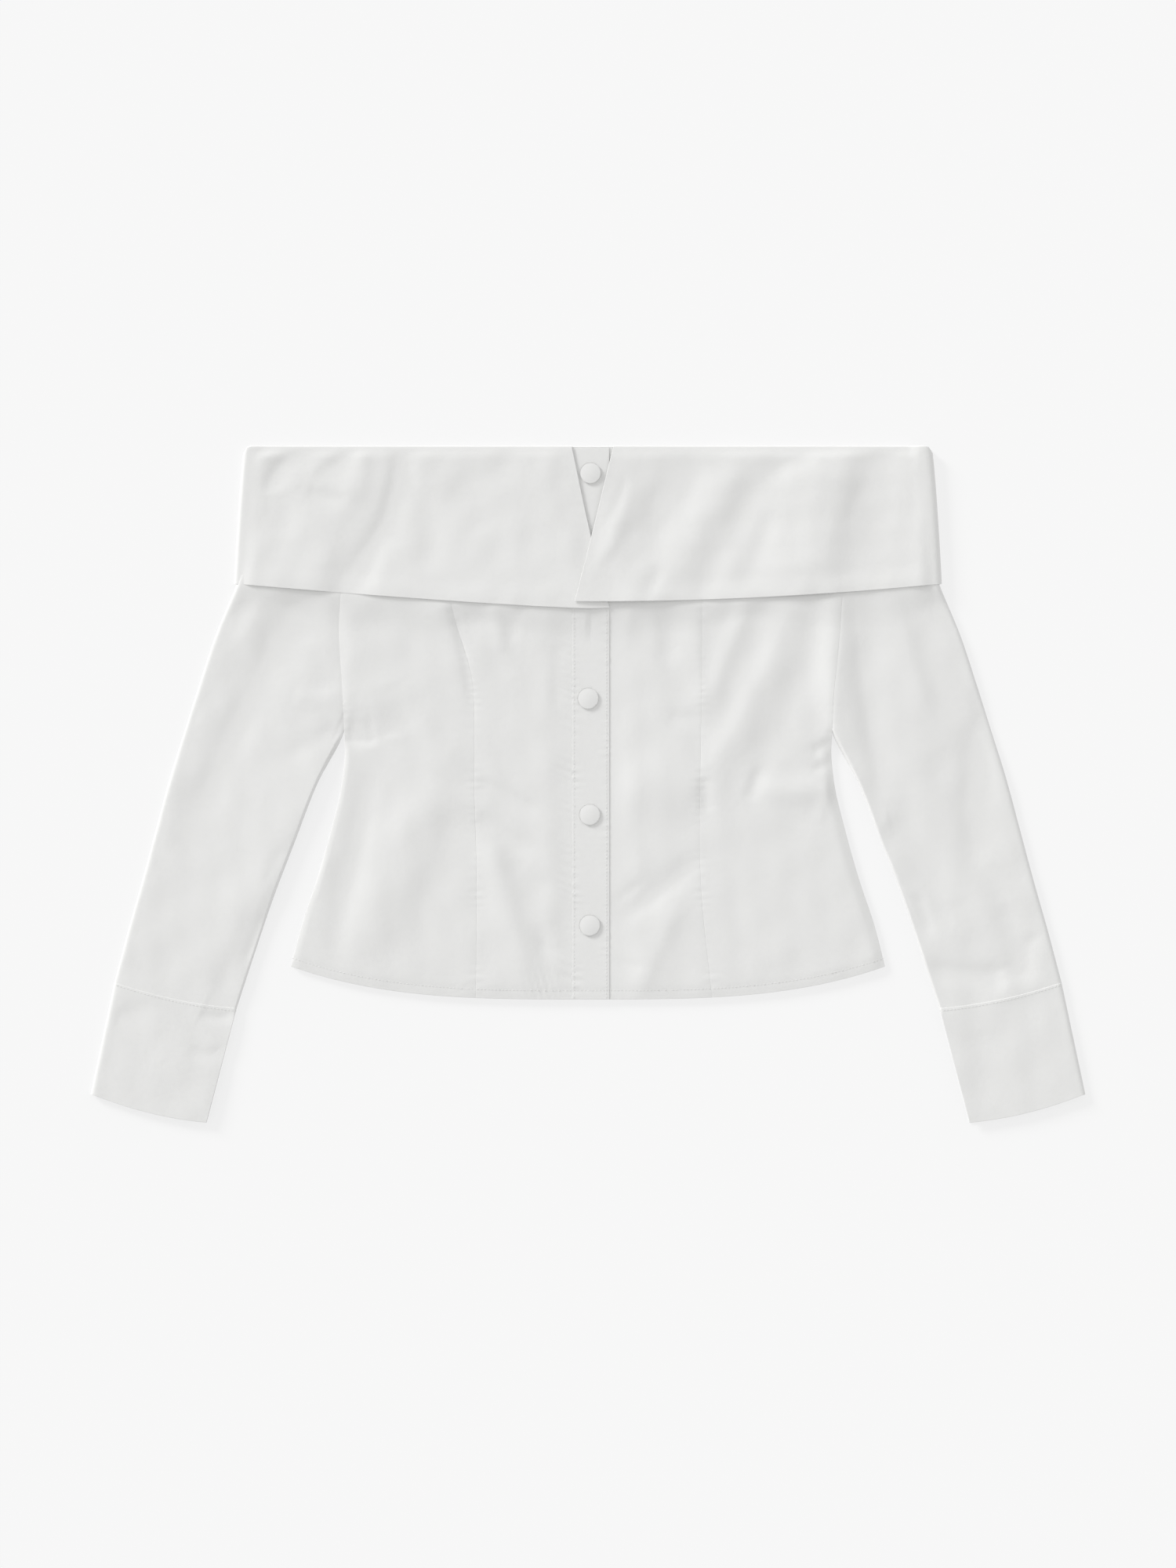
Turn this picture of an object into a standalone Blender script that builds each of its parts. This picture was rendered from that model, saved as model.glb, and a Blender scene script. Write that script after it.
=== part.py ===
# A white cotton poplin blouse with a wide fold-over collar, lying on its back.
# It lies in the XY plane with the neckline towards +Y. Left and right are as seen from above.
# Sizes are real sizes in millimetres and become metres when a mesh is made.

import math

import bmesh
import bpy
import numpy as np

MM = 0.001

# Cloth
WALL = 1.0
SEAM = 0.3
LAYER = WALL + SEAM
ROLL = WALL + SEAM / 2
PUFF = 1.1
SAMPLE = 0.5

# Body
HEM_CENTRE = -175.4
HEM_HALF = 242.0
HEM_CORNER_RISE = 26.8
HEM_POWER = 3.2
UNDERARM = 44.0
PANEL_TOP_ROWS = 4
PANEL_LOW_ROWS = 22

# Collar
NECK_TOP = 276.0
NECK_HALF = 280.0
NECK_CORNER = 5.0
CORNER_EASE = 1.009
COLLAR_LOW_HALF = 288.6
COLLAR_SIDE_DEPTH = 112.0
COLLAR_SIDE_POWER = 0.7
BACK_EDGE_CENTRE = 145.0
BACK_EDGE_RISE = 18.5
LIFT_START = 7.0
LIFT_END = 1.0
SIDE_FOLD_PUFF = 1.2
COLLAR_PUFF = 1.4
UNDERSIDE_STRIP = 22.0
FOLD_COLUMNS = 4
ROLL_ROWS = 3
COLLAR_ROWS = 10
COLLAR_COLUMNS = 24

# Placket and buttons
PLACKET_LEFT = -12.8
PLACKET_RIGHT = 17.3
STAND_LEFT = -12.3
BUTTON_RADIUS = 8.7
BUTTON_RIM = 1.4
BUTTON_DOME = 3.0
BUTTON_SIDES = 20

BUTTON_TABLE = [
    # name, x, y
    ("button_1", 1.9, 253.8),
    ("button_2", 0.0, 70.1),
    ("button_3", 1.3, -24.6),
    ("button_4", 1.3, -114.9),
]

# Half width of the body: side seam below the underarm, armhole above it
SIDE_TABLE = [
    # y, left, right
    (-150.0, 242.6, 242.6),
    (-115.0, 233.6, 233.6),
    (-76.5, 220.8, 220.8),
    (-38.0, 209.9, 209.9),
    (0.0, 201.0, 201.0),
    (26.0, 198.4, 198.4),
    (44.0, 199.0, 199.0),
    (71.0, 200.0, 200.2),
    (103.0, 202.2, 203.3),
    (125.0, 203.2, 205.3),
    (154.0, 201.6, 207.0),
    (215.0, 201.0, 206.0),
    (280.0, 202.0, 205.0),
]

# The princess seams of the front
PRINCESS_TABLE = [
    # y, left, right
    (-180.0, -91.6, 102.0),
    (-132.0, -91.0, 96.6),
    (-110.0, -90.9, 94.2),
    (-68.0, -90.9, 91.5),
    (0.0, -92.8, 91.5),
    (47.0, -92.8, 92.3),
    (88.0, -94.9, 92.9),
    (109.0, -100.5, 93.0),
    (130.0, -107.3, 93.0),
    (149.0, -112.0, 93.0),
    (215.0, -119.0, 96.0),
    (280.0, -122.0, 99.0),
]

# Where the upper and lower cloth of a sleeve have their points, from the inner edge to the fold
SLEEVE_UPPER_PARTS = [0.0, 0.125, 0.25, 0.375, 0.5, 0.625, 0.75, 0.875, 1.0]
SLEEVE_LOWER_PARTS = [1.0, 0.66, 0.33, 0.0]

# Sections of a sleeve from the neckline to the cuff, on the +X side.
# An empty inner_x lies on the armhole seam. The bow is how far a section sags towards the hand.
SLEEVE_TABLE = [
    # name, inner_x, inner_y, outer_x, outer_y, bow, steps to the next
    ("neckline", None, 274.55, 277.4, 274.55, 0.0, 2),
    ("under collar", None, 215.0, 283.3, 217.0, 0.0, 2),
    ("collar back edge", None, 153.4, 286.7, 162.3, 0.0, 1),
    ("off the collar back", None, 147.4, 289.2, 156.4, 0.0, 2),
    ("upper arm", None, 118.0, 303.4, 122.5, 0.0, 2),
    ("armhole", None, 80.0, 316.6, 83.0, 0.0, 2),
    ("underarm", 199.15, 44.0, 328.6, 45.0, 0.0, 3),
    ("above elbow", 221.2, 0.0, 341.0, 5.5, 1.0, 3),
    ("elbow", 239.0, -46.0, 351.8, -34.5, 1.5, 3),
    ("forearm", 256.4, -91.5, 362.9, -76.0, 2.0, 3),
    ("wrist", 272.0, -137.5, 375.2, -119.5, 2.5, 3),
    ("cuff seam", 287.0, -183.2, 386.6, -162.6, 3.0, 0),
]

CUFF_TABLE = [
    # name, inner_x, inner_y, outer_x, outer_y, bow, steps to the next
    ("cuff seam", 287.1, -183.5, 386.7, -162.9, 3.0, 5),
    ("cuff edge", 311.3, -275.8, 405.8, -252.9, 3.4, 0),
]

# The left collar half's front edge and the right one's, from the neckline to the corner
COLLAR_FRONT_TABLE = {
    "left": [(276.0, -13.4), (200.0, 3.0), (140.0, 18.6)],
    "right": [(276.0, 20.9), (200.0, 2.2), (140.0, -13.2)],
}

# The collar's lower edge: its height at the centre, its rise to the shoulder and how late it rises
COLLAR_EDGE_TABLE = {
    "left": (143.4, 20.1, 1.25),
    "right": (149.0, 14.5, 2.0),
}

FOLD_FIELDS = ("name", "from_x", "from_y", "by_x", "by_y", "to_x", "to_y", "rise", "width")

# Folds of the fronts and sleeves: ridges rise, troughs have a negative rise
BODY_FOLDS = [
    # name, from x y, by x y, to x y, rise, half width
    ("left armhole ridge", -193, 150, -191, 120, -192, 85, 0.9, 7),
    ("left princess ridge", -123, 150, -116, 122, -105, 88, 1.3, 9),
    ("left underarm crease", -199, 40, -187, 39, -172, 40, -1.0, 6),
    ("left side trough", -178, 6, -190, -50, -210, -132, -1.6, 11),
    ("left side ridge", -128, -2, -157, -62, -196, -132, 2.0, 16),
    ("left waist trough", -98, -18, -125, -70, -140, -150, -1.5, 13),
    ("left upper drag", -88, 2, -68, -8, -42, -22, -0.8, 7),
    ("left lower drag", -88, -26, -70, -40, -48, -54, -1.0, 7),
    ("left centre ridge", -80, -50, -64, -100, -46, -158, 1.8, 11),
    ("left bust ridge", -72, 146, -72, 128, -66, 104, 1.0, 8),
    ("right upper ridge", 132, 149, 114, 112, 97, 64, 2.0, 9),
    ("right long ridge", 165, 148, 147, 95, 98, 4, 2.2, 10),
    ("right underarm trough", 166, 122, 152, 62, 124, 12, -1.3, 16),
    ("right armhole ridge", 199, 150, 194, 100, 183, 48, 1.2, 9),
    ("right waist ridge", 24, -2, 56, 2, 90, 4, 1.1, 20),
    ("right drag trough", 90, -62, 60, -88, 22, -106, -1.1, 9),
    ("right hem ridge", 66, -106, 52, -136, 38, -168, 1.2, 10),
    ("right side ridge", 140, -2, 168, 0, 196, 5, 0.8, 12),
]

SLEEVE_FOLDS = [
    # name, from x y, by x y, to x y, rise, half width
    ("left shoulder ridge", -260, 150, -270, 134, -282, 112, 1.0, 9),
    ("left long trough", -250, 124, -287, 50, -322, -40, -1.7, 14),
    ("left forearm ridge", -216, 18, -258, -62, -294, -136, 1.7, 16),
    ("left wrist trough", -266, -104, -283, -136, -300, -170, -1.1, 9),
    ("right armhole trough", 214, 134, 224, 62, 236, 2, -1.6, 10),
    ("right shoulder ridge", 252, 146, 264, 92, 282, 40, 1.5, 10),
    ("right elbow ridge", 298, 40, 299, -14, 306, -92, 1.3, 13),
    ("right elbow trough", 320, 52, 315, 0, 322, -58, -1.1, 10),
    ("right inner crease", 246, -45, 269, -57, 289, -82, -0.9, 9),
    ("right wrist trough", 339, -112, 346, -134, 352, -156, -0.9, 10),
    ("right cuff crease", 280, -148, 312, -152, 344, -151, -0.7, 8),
]

COLLAR_FOLDS = {
    "left": [
        # name, from x y, by x y, to x y, rise, half width
        ("shoulder crease", -262, 246, -252, 262, -230, 273, -1.2, 8),
        ("second crease", -216, 250, -205, 262, -190, 272, -1.0, 8),
        ("main trough", -162, 274, -173, 212, -214, 156, -2.0, 12),
        ("inner ridge", -178, 202, -182, 180, -187, 154, 1.1, 11),
        ("middle trough", -136, 244, -138, 210, -137, 176, -0.7, 11),
        ("neck drag", -54, 265, -90, 248, -121, 221, -0.7, 11),
    ],
    "right": [
        # name, from x y, by x y, to x y, rise, half width
        ("first trough", 92, 265, 44, 212, 0, 154, -1.7, 11),
        ("first ridge", 118, 258, 86, 226, 66, 168, 1.2, 12),
        ("second trough", 151, 270, 116, 212, 84, 160, -1.8, 11),
        ("broad ridge", 200, 262, 182, 212, 166, 154, 1.7, 26),
        ("third trough", 236, 271, 222, 226, 229, 166, -1.2, 14),
    ],
}

CLOTH = {"name": "white_poplin", "colour": (0.84, 0.84, 0.825, 1.0), "roughness": 0.88}
COVERED = {"name": "covered_button", "colour": (0.83, 0.83, 0.815, 1.0), "roughness": 0.82}


# Small maths

def smooth_step(value, start, stop):
    part = np.clip((value - start) / (stop - start), 0.0, 1.0)
    return part * part * (3.0 - 2.0 * part)


def curve(keys, values, at):
    # A smooth line through the points, cubic between each two of them.
    keys = np.asarray(keys, dtype=float)
    values = np.asarray(values, dtype=float)
    slopes = np.gradient(values, keys)
    at = np.clip(at, keys[0], keys[-1])
    place = np.clip(np.searchsorted(keys, at, side="right") - 1, 0, len(keys) - 2)
    span = keys[place + 1] - keys[place]
    part = (at - keys[place]) / span
    start = (2 * part**3 - 3 * part**2 + 1) * values[place]
    start_slope = (part**3 - 2 * part**2 + part) * span * slopes[place]
    stop = (3 * part**2 - 2 * part**3) * values[place + 1]
    stop_slope = (part**3 - part**2) * span * slopes[place + 1]
    return start + start_slope + stop + stop_slope


def table_line(table, column, at):
    return curve([row[0] for row in table], [row[column] for row in table], at)


# Outlines in the plan

def hem_line(x):
    return HEM_CENTRE + HEM_CORNER_RISE * (np.abs(x) / HEM_HALF) ** HEM_POWER


def back_edge_line(x):
    return BACK_EDGE_CENTRE + BACK_EDGE_RISE * (x / COLLAR_LOW_HALF) ** 2


def neck_line(x):
    # The neckline's fold, straight with a round corner at each shoulder.
    past = np.clip(np.abs(x) - (NECK_HALF - NECK_CORNER), 0.0, NECK_CORNER)
    return NECK_TOP - NECK_CORNER + np.sqrt(NECK_CORNER**2 - past**2)


def seam_line(x):
    # Where the sleeve's top edge stops inside the roll, further in at the shoulder corner.
    return neck_line(x * CORNER_EASE) - ROLL - SEAM


def collar_side(y):
    drop = np.clip((NECK_TOP - y) / COLLAR_SIDE_DEPTH, 0.0, 1.0)
    return NECK_HALF + (COLLAR_LOW_HALF - NECK_HALF) * drop**COLLAR_SIDE_POWER


def body_side(y, side):
    return side * table_line(SIDE_TABLE, 1 if side < 0 else 2, y)


def princess_line(y, side):
    return table_line(PRINCESS_TABLE, 1 if side < 0 else 2, y)


def collar_edge(x, half):
    centre, rise, power = COLLAR_EDGE_TABLE[half]
    return centre + rise * (np.abs(x) / COLLAR_LOW_HALF) ** power


def collar_front(y, half):
    rows = sorted(COLLAR_FRONT_TABLE[half])
    return curve([row[0] for row in rows], [row[1] for row in rows], y)


def sleeve_inner(y):
    rows = [row for row in SLEEVE_TABLE if row[1] is not None]
    return curve([row[2] for row in reversed(rows)], [row[1] for row in reversed(rows)], y)


# Heights of the layers

def fold_height(fold, x, y):
    # A soft ridge or trough along a bent path, fading at both ends.
    row = dict(zip(FOLD_FIELDS, fold))
    start = np.array([row["from_x"], row["from_y"]], dtype=float)
    middle = np.array([row["by_x"], row["by_y"]], dtype=float)
    stop = np.array([row["to_x"], row["to_y"]], dtype=float)
    pull = 2 * middle - (start + stop) / 2
    steps = np.linspace(0.0, 1.0, 13)[:, None]
    path = (1 - steps) ** 2 * start + 2 * steps * (1 - steps) * pull + steps**2 * stop
    nearest = np.full(x.shape, 1e9)
    along = np.zeros(x.shape)
    for index in range(len(path) - 1):
        a = path[index]
        edge = path[index + 1] - a
        part = np.clip(((x - a[0]) * edge[0] + (y - a[1]) * edge[1]) / edge.dot(edge), 0, 1)
        distance = np.hypot(x - a[0] - part * edge[0], y - a[1] - part * edge[1])
        closer = distance < nearest
        nearest = np.where(closer, distance, nearest)
        along = np.where(closer, (index + part) / (len(path) - 1), along)
    fade = smooth_step(along, -0.12, 0.22) * smooth_step(-along, -1.12, -0.78)
    return row["rise"] * fade * np.exp(-((nearest / row["width"]) ** 2))


def fold_sum(folds, x, y):
    return sum(fold_height(fold, x, y) for fold in folds)


def never_below(height):
    # Keeps a height above zero without a sharp corner.
    return 0.5 * (height + np.sqrt(height * height + 0.2))


def collar_lift(x, y):
    # The bodice steps up onto the collar's back, which lies under it.
    edge = back_edge_line(x)
    return LAYER * smooth_step(y, edge - LIFT_START, edge - LIFT_END)


def cloth_relief(x, y, on_sleeve):
    # How far the upper cloth stands off the lower one.
    height = never_below(PUFF + fold_sum(BODY_FOLDS, x, y) + fold_sum(SLEEVE_FOLDS, x, y))
    below_arm = smooth_step(-y, -UNDERARM - 8, -UNDERARM + 24)
    if on_sleeve:
        inset = np.abs(x) - sleeve_inner(y)
    else:
        inset = np.abs(body_side(y, -1)) - np.abs(x)
        height = height * smooth_step(y - hem_line(x), -10, 14)
    height = height * (1 - below_arm * (1 - smooth_step(inset, -3, 15)))
    on_placket = smooth_step(x, PLACKET_LEFT - 8, PLACKET_LEFT)
    on_placket = on_placket * smooth_step(-x, -PLACKET_RIGHT - 10, -PLACKET_RIGHT)
    height = height * (1 - 0.7 * on_placket)
    edge = back_edge_line(x)
    return height * (1 - smooth_step(y, edge - 4, edge + 12))


def back_height(x, y):
    return collar_lift(x, y)


def front_height(x, y):
    return collar_lift(x, y) + LAYER + cloth_relief(x, y, False)


def front_left_height(x, y):
    # The left front climbs to the placket, which covers the button stand.
    climb = smooth_step(x, PLACKET_LEFT - 9, PLACKET_LEFT - 1)
    return front_height(x, y) + LAYER * climb


def placket_height(x, y):
    return front_height(x, y) + LAYER


def sleeve_height(x, y):
    return collar_lift(x, y) + LAYER + cloth_relief(x, y, True)


def collar_relief(x, y, half):
    # The collar's own puff and folds, drawn down at the neckline and even along the shoulder fold.
    height = never_below(COLLAR_PUFF + fold_sum(COLLAR_FOLDS[half], x, y))
    height = 0.3 + (height - 0.3) * (1 - smooth_step(y, NECK_TOP - 16, NECK_TOP - 1))
    front = np.abs(x - collar_front(y, half))
    height = 0.4 + (height - 0.4) * (0.35 + 0.65 * smooth_step(front, 0, 26))
    side = smooth_step(np.abs(x), collar_side(y) - 20, collar_side(y) - 4)
    return height + (SIDE_FOLD_PUFF - height) * side


def bodice_top(x, y):
    # What a collar half lies on, with room round the placket.
    over_placket = smooth_step(x, PLACKET_LEFT - 17, PLACKET_LEFT - 3)
    over_placket = over_placket * smooth_step(-x, -PLACKET_RIGHT - 18, -PLACKET_RIGHT - 4)
    return collar_lift(x, y) + LAYER + WALL + cloth_relief(x, y, False) + LAYER * over_placket


def collar_left_height(x, y):
    return bodice_top(x, y) + SEAM + collar_relief(x, y, "left")


def collar_right_height(x, y):
    # The right half lies over the left one where they cross.
    past = x - collar_front(y, "left")
    over_left = smooth_step(-past, -28, -13)
    raised = LAYER + collar_relief(x, y, "left")
    return bodice_top(x, y) + SEAM + collar_relief(x, y, "right") + raised * over_left


# Meshes

def cloth_thickness(height, x, y):
    # The upright thickness that keeps a sloping wall at its full thickness.
    slope_x = (height(x + SAMPLE, y) - height(x - SAMPLE, y)) / (2 * SAMPLE)
    slope_y = (height(x, y + SAMPLE) - height(x, y - SAMPLE)) / (2 * SAMPLE)
    return WALL * np.sqrt(1 + slope_x**2 + slope_y**2)


def make_material(finish):
    material = bpy.data.materials.get(finish["name"]) or bpy.data.materials.new(finish["name"])
    material.use_nodes = True
    shader = material.node_tree.nodes["Principled BSDF"]
    shader.inputs["Base Color"].default_value = finish["colour"]
    shader.inputs["Roughness"].default_value = finish["roughness"]
    shader.inputs["Metallic"].default_value = 0.0
    return material


def make_object(name, bm, finish):
    bmesh.ops.recalc_face_normals(bm, faces=bm.faces)
    bmesh.ops.triangulate(bm, faces=bm.faces, quad_method="FIXED")
    mesh = bpy.data.meshes.new(name)
    bm.to_mesh(mesh)
    bm.free()
    mesh.shade_smooth()
    mesh.set_sharp_from_angle(angle=math.radians(50))
    mesh.materials.append(make_material(finish))
    thing = bpy.data.objects.new(name, mesh)
    bpy.context.collection.objects.link(thing)
    return thing


def add_grid(bm, points):
    return [[bm.verts.new((x * MM, y * MM, z * MM)) for x, y, z in row] for row in points]


def make_wall(name, outer, inner):
    # A closed wall between an outer and an inner grid of points, with rims round its edge.
    bm = bmesh.new()
    out = add_grid(bm, outer)
    into = add_grid(bm, inner)
    rows = len(out)
    columns = len(out[0])
    for i in range(rows - 1):
        for j in range(columns - 1):
            bm.faces.new((out[i][j], out[i][j + 1], out[i + 1][j + 1], out[i + 1][j]))
            bm.faces.new((into[i][j], into[i + 1][j], into[i + 1][j + 1], into[i][j + 1]))
    rim = [(0, j) for j in range(columns)]
    rim += [(i, columns - 1) for i in range(1, rows)]
    rim += [(rows - 1, j) for j in range(columns - 2, -1, -1)]
    rim += [(i, 0) for i in range(rows - 2, 0, -1)]
    for (i, j), (k, m) in zip(rim, rim[1:] + rim[:1]):
        bm.faces.new((out[i][j], into[i][j], into[k][m], out[k][m]))
    return make_object(name, bm, CLOTH)


def flat_wall(name, x, y, height):
    # A panel from its plan and the height of its lower face.
    low = height(x, y)
    high = low + cloth_thickness(height, x, y)
    return make_wall(name, np.stack([x, y, high], axis=-1), np.stack([x, y, low], axis=-1))


# Body panels

def body_rows():
    # Fractions of the way from the hem to the collar back's edge, then to the neckline.
    low = [(part, "low") for part in np.linspace(0.0, 1.0, PANEL_LOW_ROWS + 1)]
    top = [(part, "top") for part in np.linspace(0.0, 1.0, PANEL_TOP_ROWS + 1)]
    return low + top


def row_height(part, zone, x):
    edge = back_edge_line(x)
    if zone == "low":
        return hem_line(x) + part * (edge - LIFT_START - hem_line(x))
    top = NECK_TOP - ROLL - SEAM
    return edge - LIFT_END + part * (top - edge + LIFT_END)


def panel_plan(columns):
    # Each column is a function that gives x from y. Rows bend with the hem and the collar.
    rows = body_rows()
    x = np.zeros((len(rows), len(columns)))
    y = np.zeros((len(rows), len(columns)))
    for i, (part, zone) in enumerate(rows):
        for j, column in enumerate(columns):
            for _ in range(6):
                y[i, j] = row_height(part, zone, x[i, j])
                x[i, j] = column(y[i, j])
    return x, y


def spread(first, last, parts):
    # Columns between two lines, at the given parts of the way across.
    return [lambda y, part=part: first(y) + part * (last(y) - first(y)) for part in parts]


def left_side(y):
    return body_side(y, -1) + SEAM / 2


def right_side(y):
    return body_side(y, 1) - SEAM / 2


def left_seam_out(y):
    return princess_line(y, -1) - SEAM / 2


def left_seam_in(y):
    return princess_line(y, -1) + SEAM / 2


def right_seam_in(y):
    return princess_line(y, 1) - SEAM / 2


def right_seam_out(y):
    return princess_line(y, 1) + SEAM / 2


def placket_seam(y):
    return PLACKET_LEFT - SEAM / 2


def placket_right(y):
    return PLACKET_RIGHT


def make_body():
    even = np.linspace(0.0, 1.0, 9)
    flat_wall("back", *panel_plan(spread(left_side, right_side, np.linspace(0.0, 1.0, 13))), back_height)
    flat_wall("front_side_left", *panel_plan(spread(left_side, left_seam_out, even)), front_height)
    flat_wall("front_side_right", *panel_plan(spread(right_seam_out, right_side, even)), front_height)
    to_placket = [0.0, 0.17, 0.34, 0.51, 0.68, 0.84, 0.93, 1.0]
    columns = spread(left_seam_in, placket_seam, to_placket)
    flat_wall("front_centre_left", *panel_plan(columns), front_left_height)
    across = np.linspace(0.0, 1.0, 4)
    stand = spread(lambda y: STAND_LEFT, placket_right, across)
    columns = stand + spread(placket_right, right_seam_in, np.linspace(0.0, 1.0, 7)[1:])
    flat_wall("front_centre_right", *panel_plan(columns), front_height)
    columns = spread(lambda y: PLACKET_LEFT + SEAM / 2, placket_right, across)
    flat_wall("placket", *panel_plan(columns), placket_height)


# Sleeves and cuffs

def tube_sections(table, side):
    # Smooth sections between the rows of a table: inner x and y, outer x and y, and the bow.
    ends = []
    for name, inner_x, inner_y, outer_x, outer_y, bow, steps in table:
        if inner_x is None:
            inner_x = abs(body_side(inner_y, side)) + SEAM / 2
        ends.append((inner_x, inner_y, outer_x, outer_y, bow))
    ends = np.array(ends)
    run = np.hypot(np.diff(ends[:, 2]), np.diff(ends[:, 3]))
    keys = np.concatenate([[0.0], np.cumsum(run)])
    places = [keys[0]]
    for index, row in enumerate(table[:-1]):
        places += list(np.linspace(keys[index], keys[index + 1], row[-1] + 1)[1:])
    sections = np.stack([curve(keys, ends[:, column], np.array(places)) for column in range(5)], axis=1)
    on_armhole = sections[:, 1] >= UNDERARM - 0.01
    armhole = np.abs(body_side(sections[:, 1], side)) + SEAM / 2
    sections[:, 0] = np.where(on_armhole, armhole, sections[:, 0])
    return sections


def folded_tube(name, table, side):
    # A tube laid flat: the upper cloth, a round fold at the outer edge, then the lower cloth.
    # Its two edges lie on each other along the seam at the inner edge.
    sections = tube_sections(table, side)
    start = sections[:, 0:2] * (side, 1)
    stop = sections[:, 2:4] * (side, 1)
    stop[:, 1] = np.minimum(stop[:, 1], seam_line(stop[:, 0]))
    across = (stop - start) / np.linalg.norm(stop - start, axis=1)[:, None]
    edge_low = collar_lift(stop[:, 0], stop[:, 1])
    radius = (sleeve_height(stop[:, 0], stop[:, 1]) + WALL - edge_low) / 2
    turn = stop - across * radius[:, None]

    def plan(parts):
        parts = np.array(parts)[None, :]
        x = start[:, 0:1] + parts * (turn[:, 0:1] - start[:, 0:1])
        y = start[:, 1:2] + parts * (turn[:, 1:2] - start[:, 1:2])
        y = y - 4 * sections[:, 4:5] * parts * (1 - parts)
        return x, np.minimum(y, seam_line(x))

    x, y = plan(SLEEVE_UPPER_PARTS)
    low = sleeve_height(x, y)
    thick = cloth_thickness(sleeve_height, x, y)
    low[:, -1] = edge_low + 2 * radius - WALL
    thick[:, -1] = WALL
    outer = [np.stack([x, y, low + thick], axis=-1)]
    inner = [np.stack([x, y, low], axis=-1)]
    angles = [math.pi * step / FOLD_COLUMNS for step in range(1, FOLD_COLUMNS)]
    for grid, reach in ((outer, radius), (inner, radius - WALL)):
        for angle in angles:
            place = turn + across * (reach * math.sin(angle))[:, None]
            up = edge_low + radius + reach * math.cos(angle)
            grid.append(np.stack([place[:, 0:1], place[:, 1:2], up[:, None]], axis=-1))
    x, y = plan(SLEEVE_LOWER_PARTS)
    low = back_height(x, y)
    low[:, 0] = edge_low
    outer.append(np.stack([x, y, low], axis=-1))
    inner.append(np.stack([x, y, low + WALL], axis=-1))
    return make_wall(name, np.concatenate(outer, axis=1), np.concatenate(inner, axis=1))


def make_sleeves():
    for word, side in (("left", -1), ("right", 1)):
        folded_tube("sleeve_" + word, SLEEVE_TABLE, side)
        folded_tube("cuff_" + word, CUFF_TABLE, side)


# Collar

def flap_plan(half, side, across, down, radius):
    # The plan of a collar half's upper cloth, from its front edge to the shoulder fold.
    across = across[None, :]
    down = down[:, None]
    x = np.full((down.shape[0], across.shape[1]), side * 100.0)
    for _ in range(8):
        low = collar_edge(x, half)
        y = low + down * (neck_line(x) - ROLL - low)
        start = collar_front(y, half)
        x = start + across * (side * (collar_side(y) - radius) - start)
    return x, y


def strip_plan(side, inset, down):
    # One column of the shoulder fold or the underside, inset from the collar's side.
    y = np.full(down.shape, 200.0)
    for _ in range(8):
        x = side * (collar_side(y) - inset)
        low = back_edge_line(x)
        y = low + down * (neck_line(x) - ROLL - low)
    return x, y


def collar_half(name, half, side, height):
    # A flap that rolls over at the neckline and wraps round the shoulder fold to the underside.
    fold_top = 4 * LAYER - SEAM + SIDE_FOLD_PUFF
    radius = fold_top / 2
    down = np.linspace(0.0, 1.0, COLLAR_ROWS + 1)
    x, y = flap_plan(half, side, np.linspace(0.0, 1.0, COLLAR_COLUMNS + 1), down, radius)
    low = height(x, y)
    thick = cloth_thickness(height, x, y)
    low[:, -1] = fold_top - WALL
    thick[:, -1] = WALL
    outer = [np.stack([x[:, j], y[:, j], low[:, j] + thick[:, j]], axis=-1) for j in range(x.shape[1])]
    walls = [thick[:, j] for j in range(x.shape[1])]
    outward = [np.array([0.0, 0.0, 1.0])] * x.shape[1]
    for step in range(1, FOLD_COLUMNS):
        angle = math.pi * step / FOLD_COLUMNS
        x, y = strip_plan(side, radius * (1 - math.sin(angle)), down)
        outer.append(np.stack([x, y, np.full(y.shape, radius * (1 + math.cos(angle)))], axis=-1))
        outward.append(np.array([side * math.sin(angle), 0.0, math.cos(angle)]))
        walls.append(np.full(y.shape, WALL))
    for part in (0.0, 0.5, 1.0):
        x, y = strip_plan(side, radius + part * (UNDERSIDE_STRIP - radius), down)
        outer.append(np.stack([x, y, np.zeros(y.shape)], axis=-1))
        outward.append(np.array([0.0, 0.0, -1.0]))
        walls.append(np.full(y.shape, WALL))
    inner = [line - out * wall[:, None] for line, out, wall in zip(outer, outward, walls)]
    outer = np.stack(outer, axis=1)
    inner = np.stack(inner, axis=1)
    return make_wall(name, *rolled_over(outer, inner, np.array(outward)))


def rolled_over(outer, inner, outward):
    # Adds the roll at the neckline: rows that turn over from the last row of both grids.
    last_outer = outer[-1]
    last_inner = inner[-1]
    extra = (last_outer - last_inner) * 1.0
    extra -= outward * WALL
    rows = [[outer], [inner]]
    for step in range(1, ROLL_ROWS + 1):
        angle = math.pi * step / ROLL_ROWS
        ahead = np.array([0.0, math.sin(angle), 0.0])
        fade = (1 + math.cos(angle)) / 2
        centre = last_outer - outward * ROLL - extra
        rows[0].append((centre + outward * ROLL * math.cos(angle) + extra * fade + ahead * ROLL)[None])
        reach = ROLL - WALL
        rows[1].append((centre + outward * reach * math.cos(angle) + ahead * reach)[None])
    return np.concatenate(rows[0]), np.concatenate(rows[1])


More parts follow.
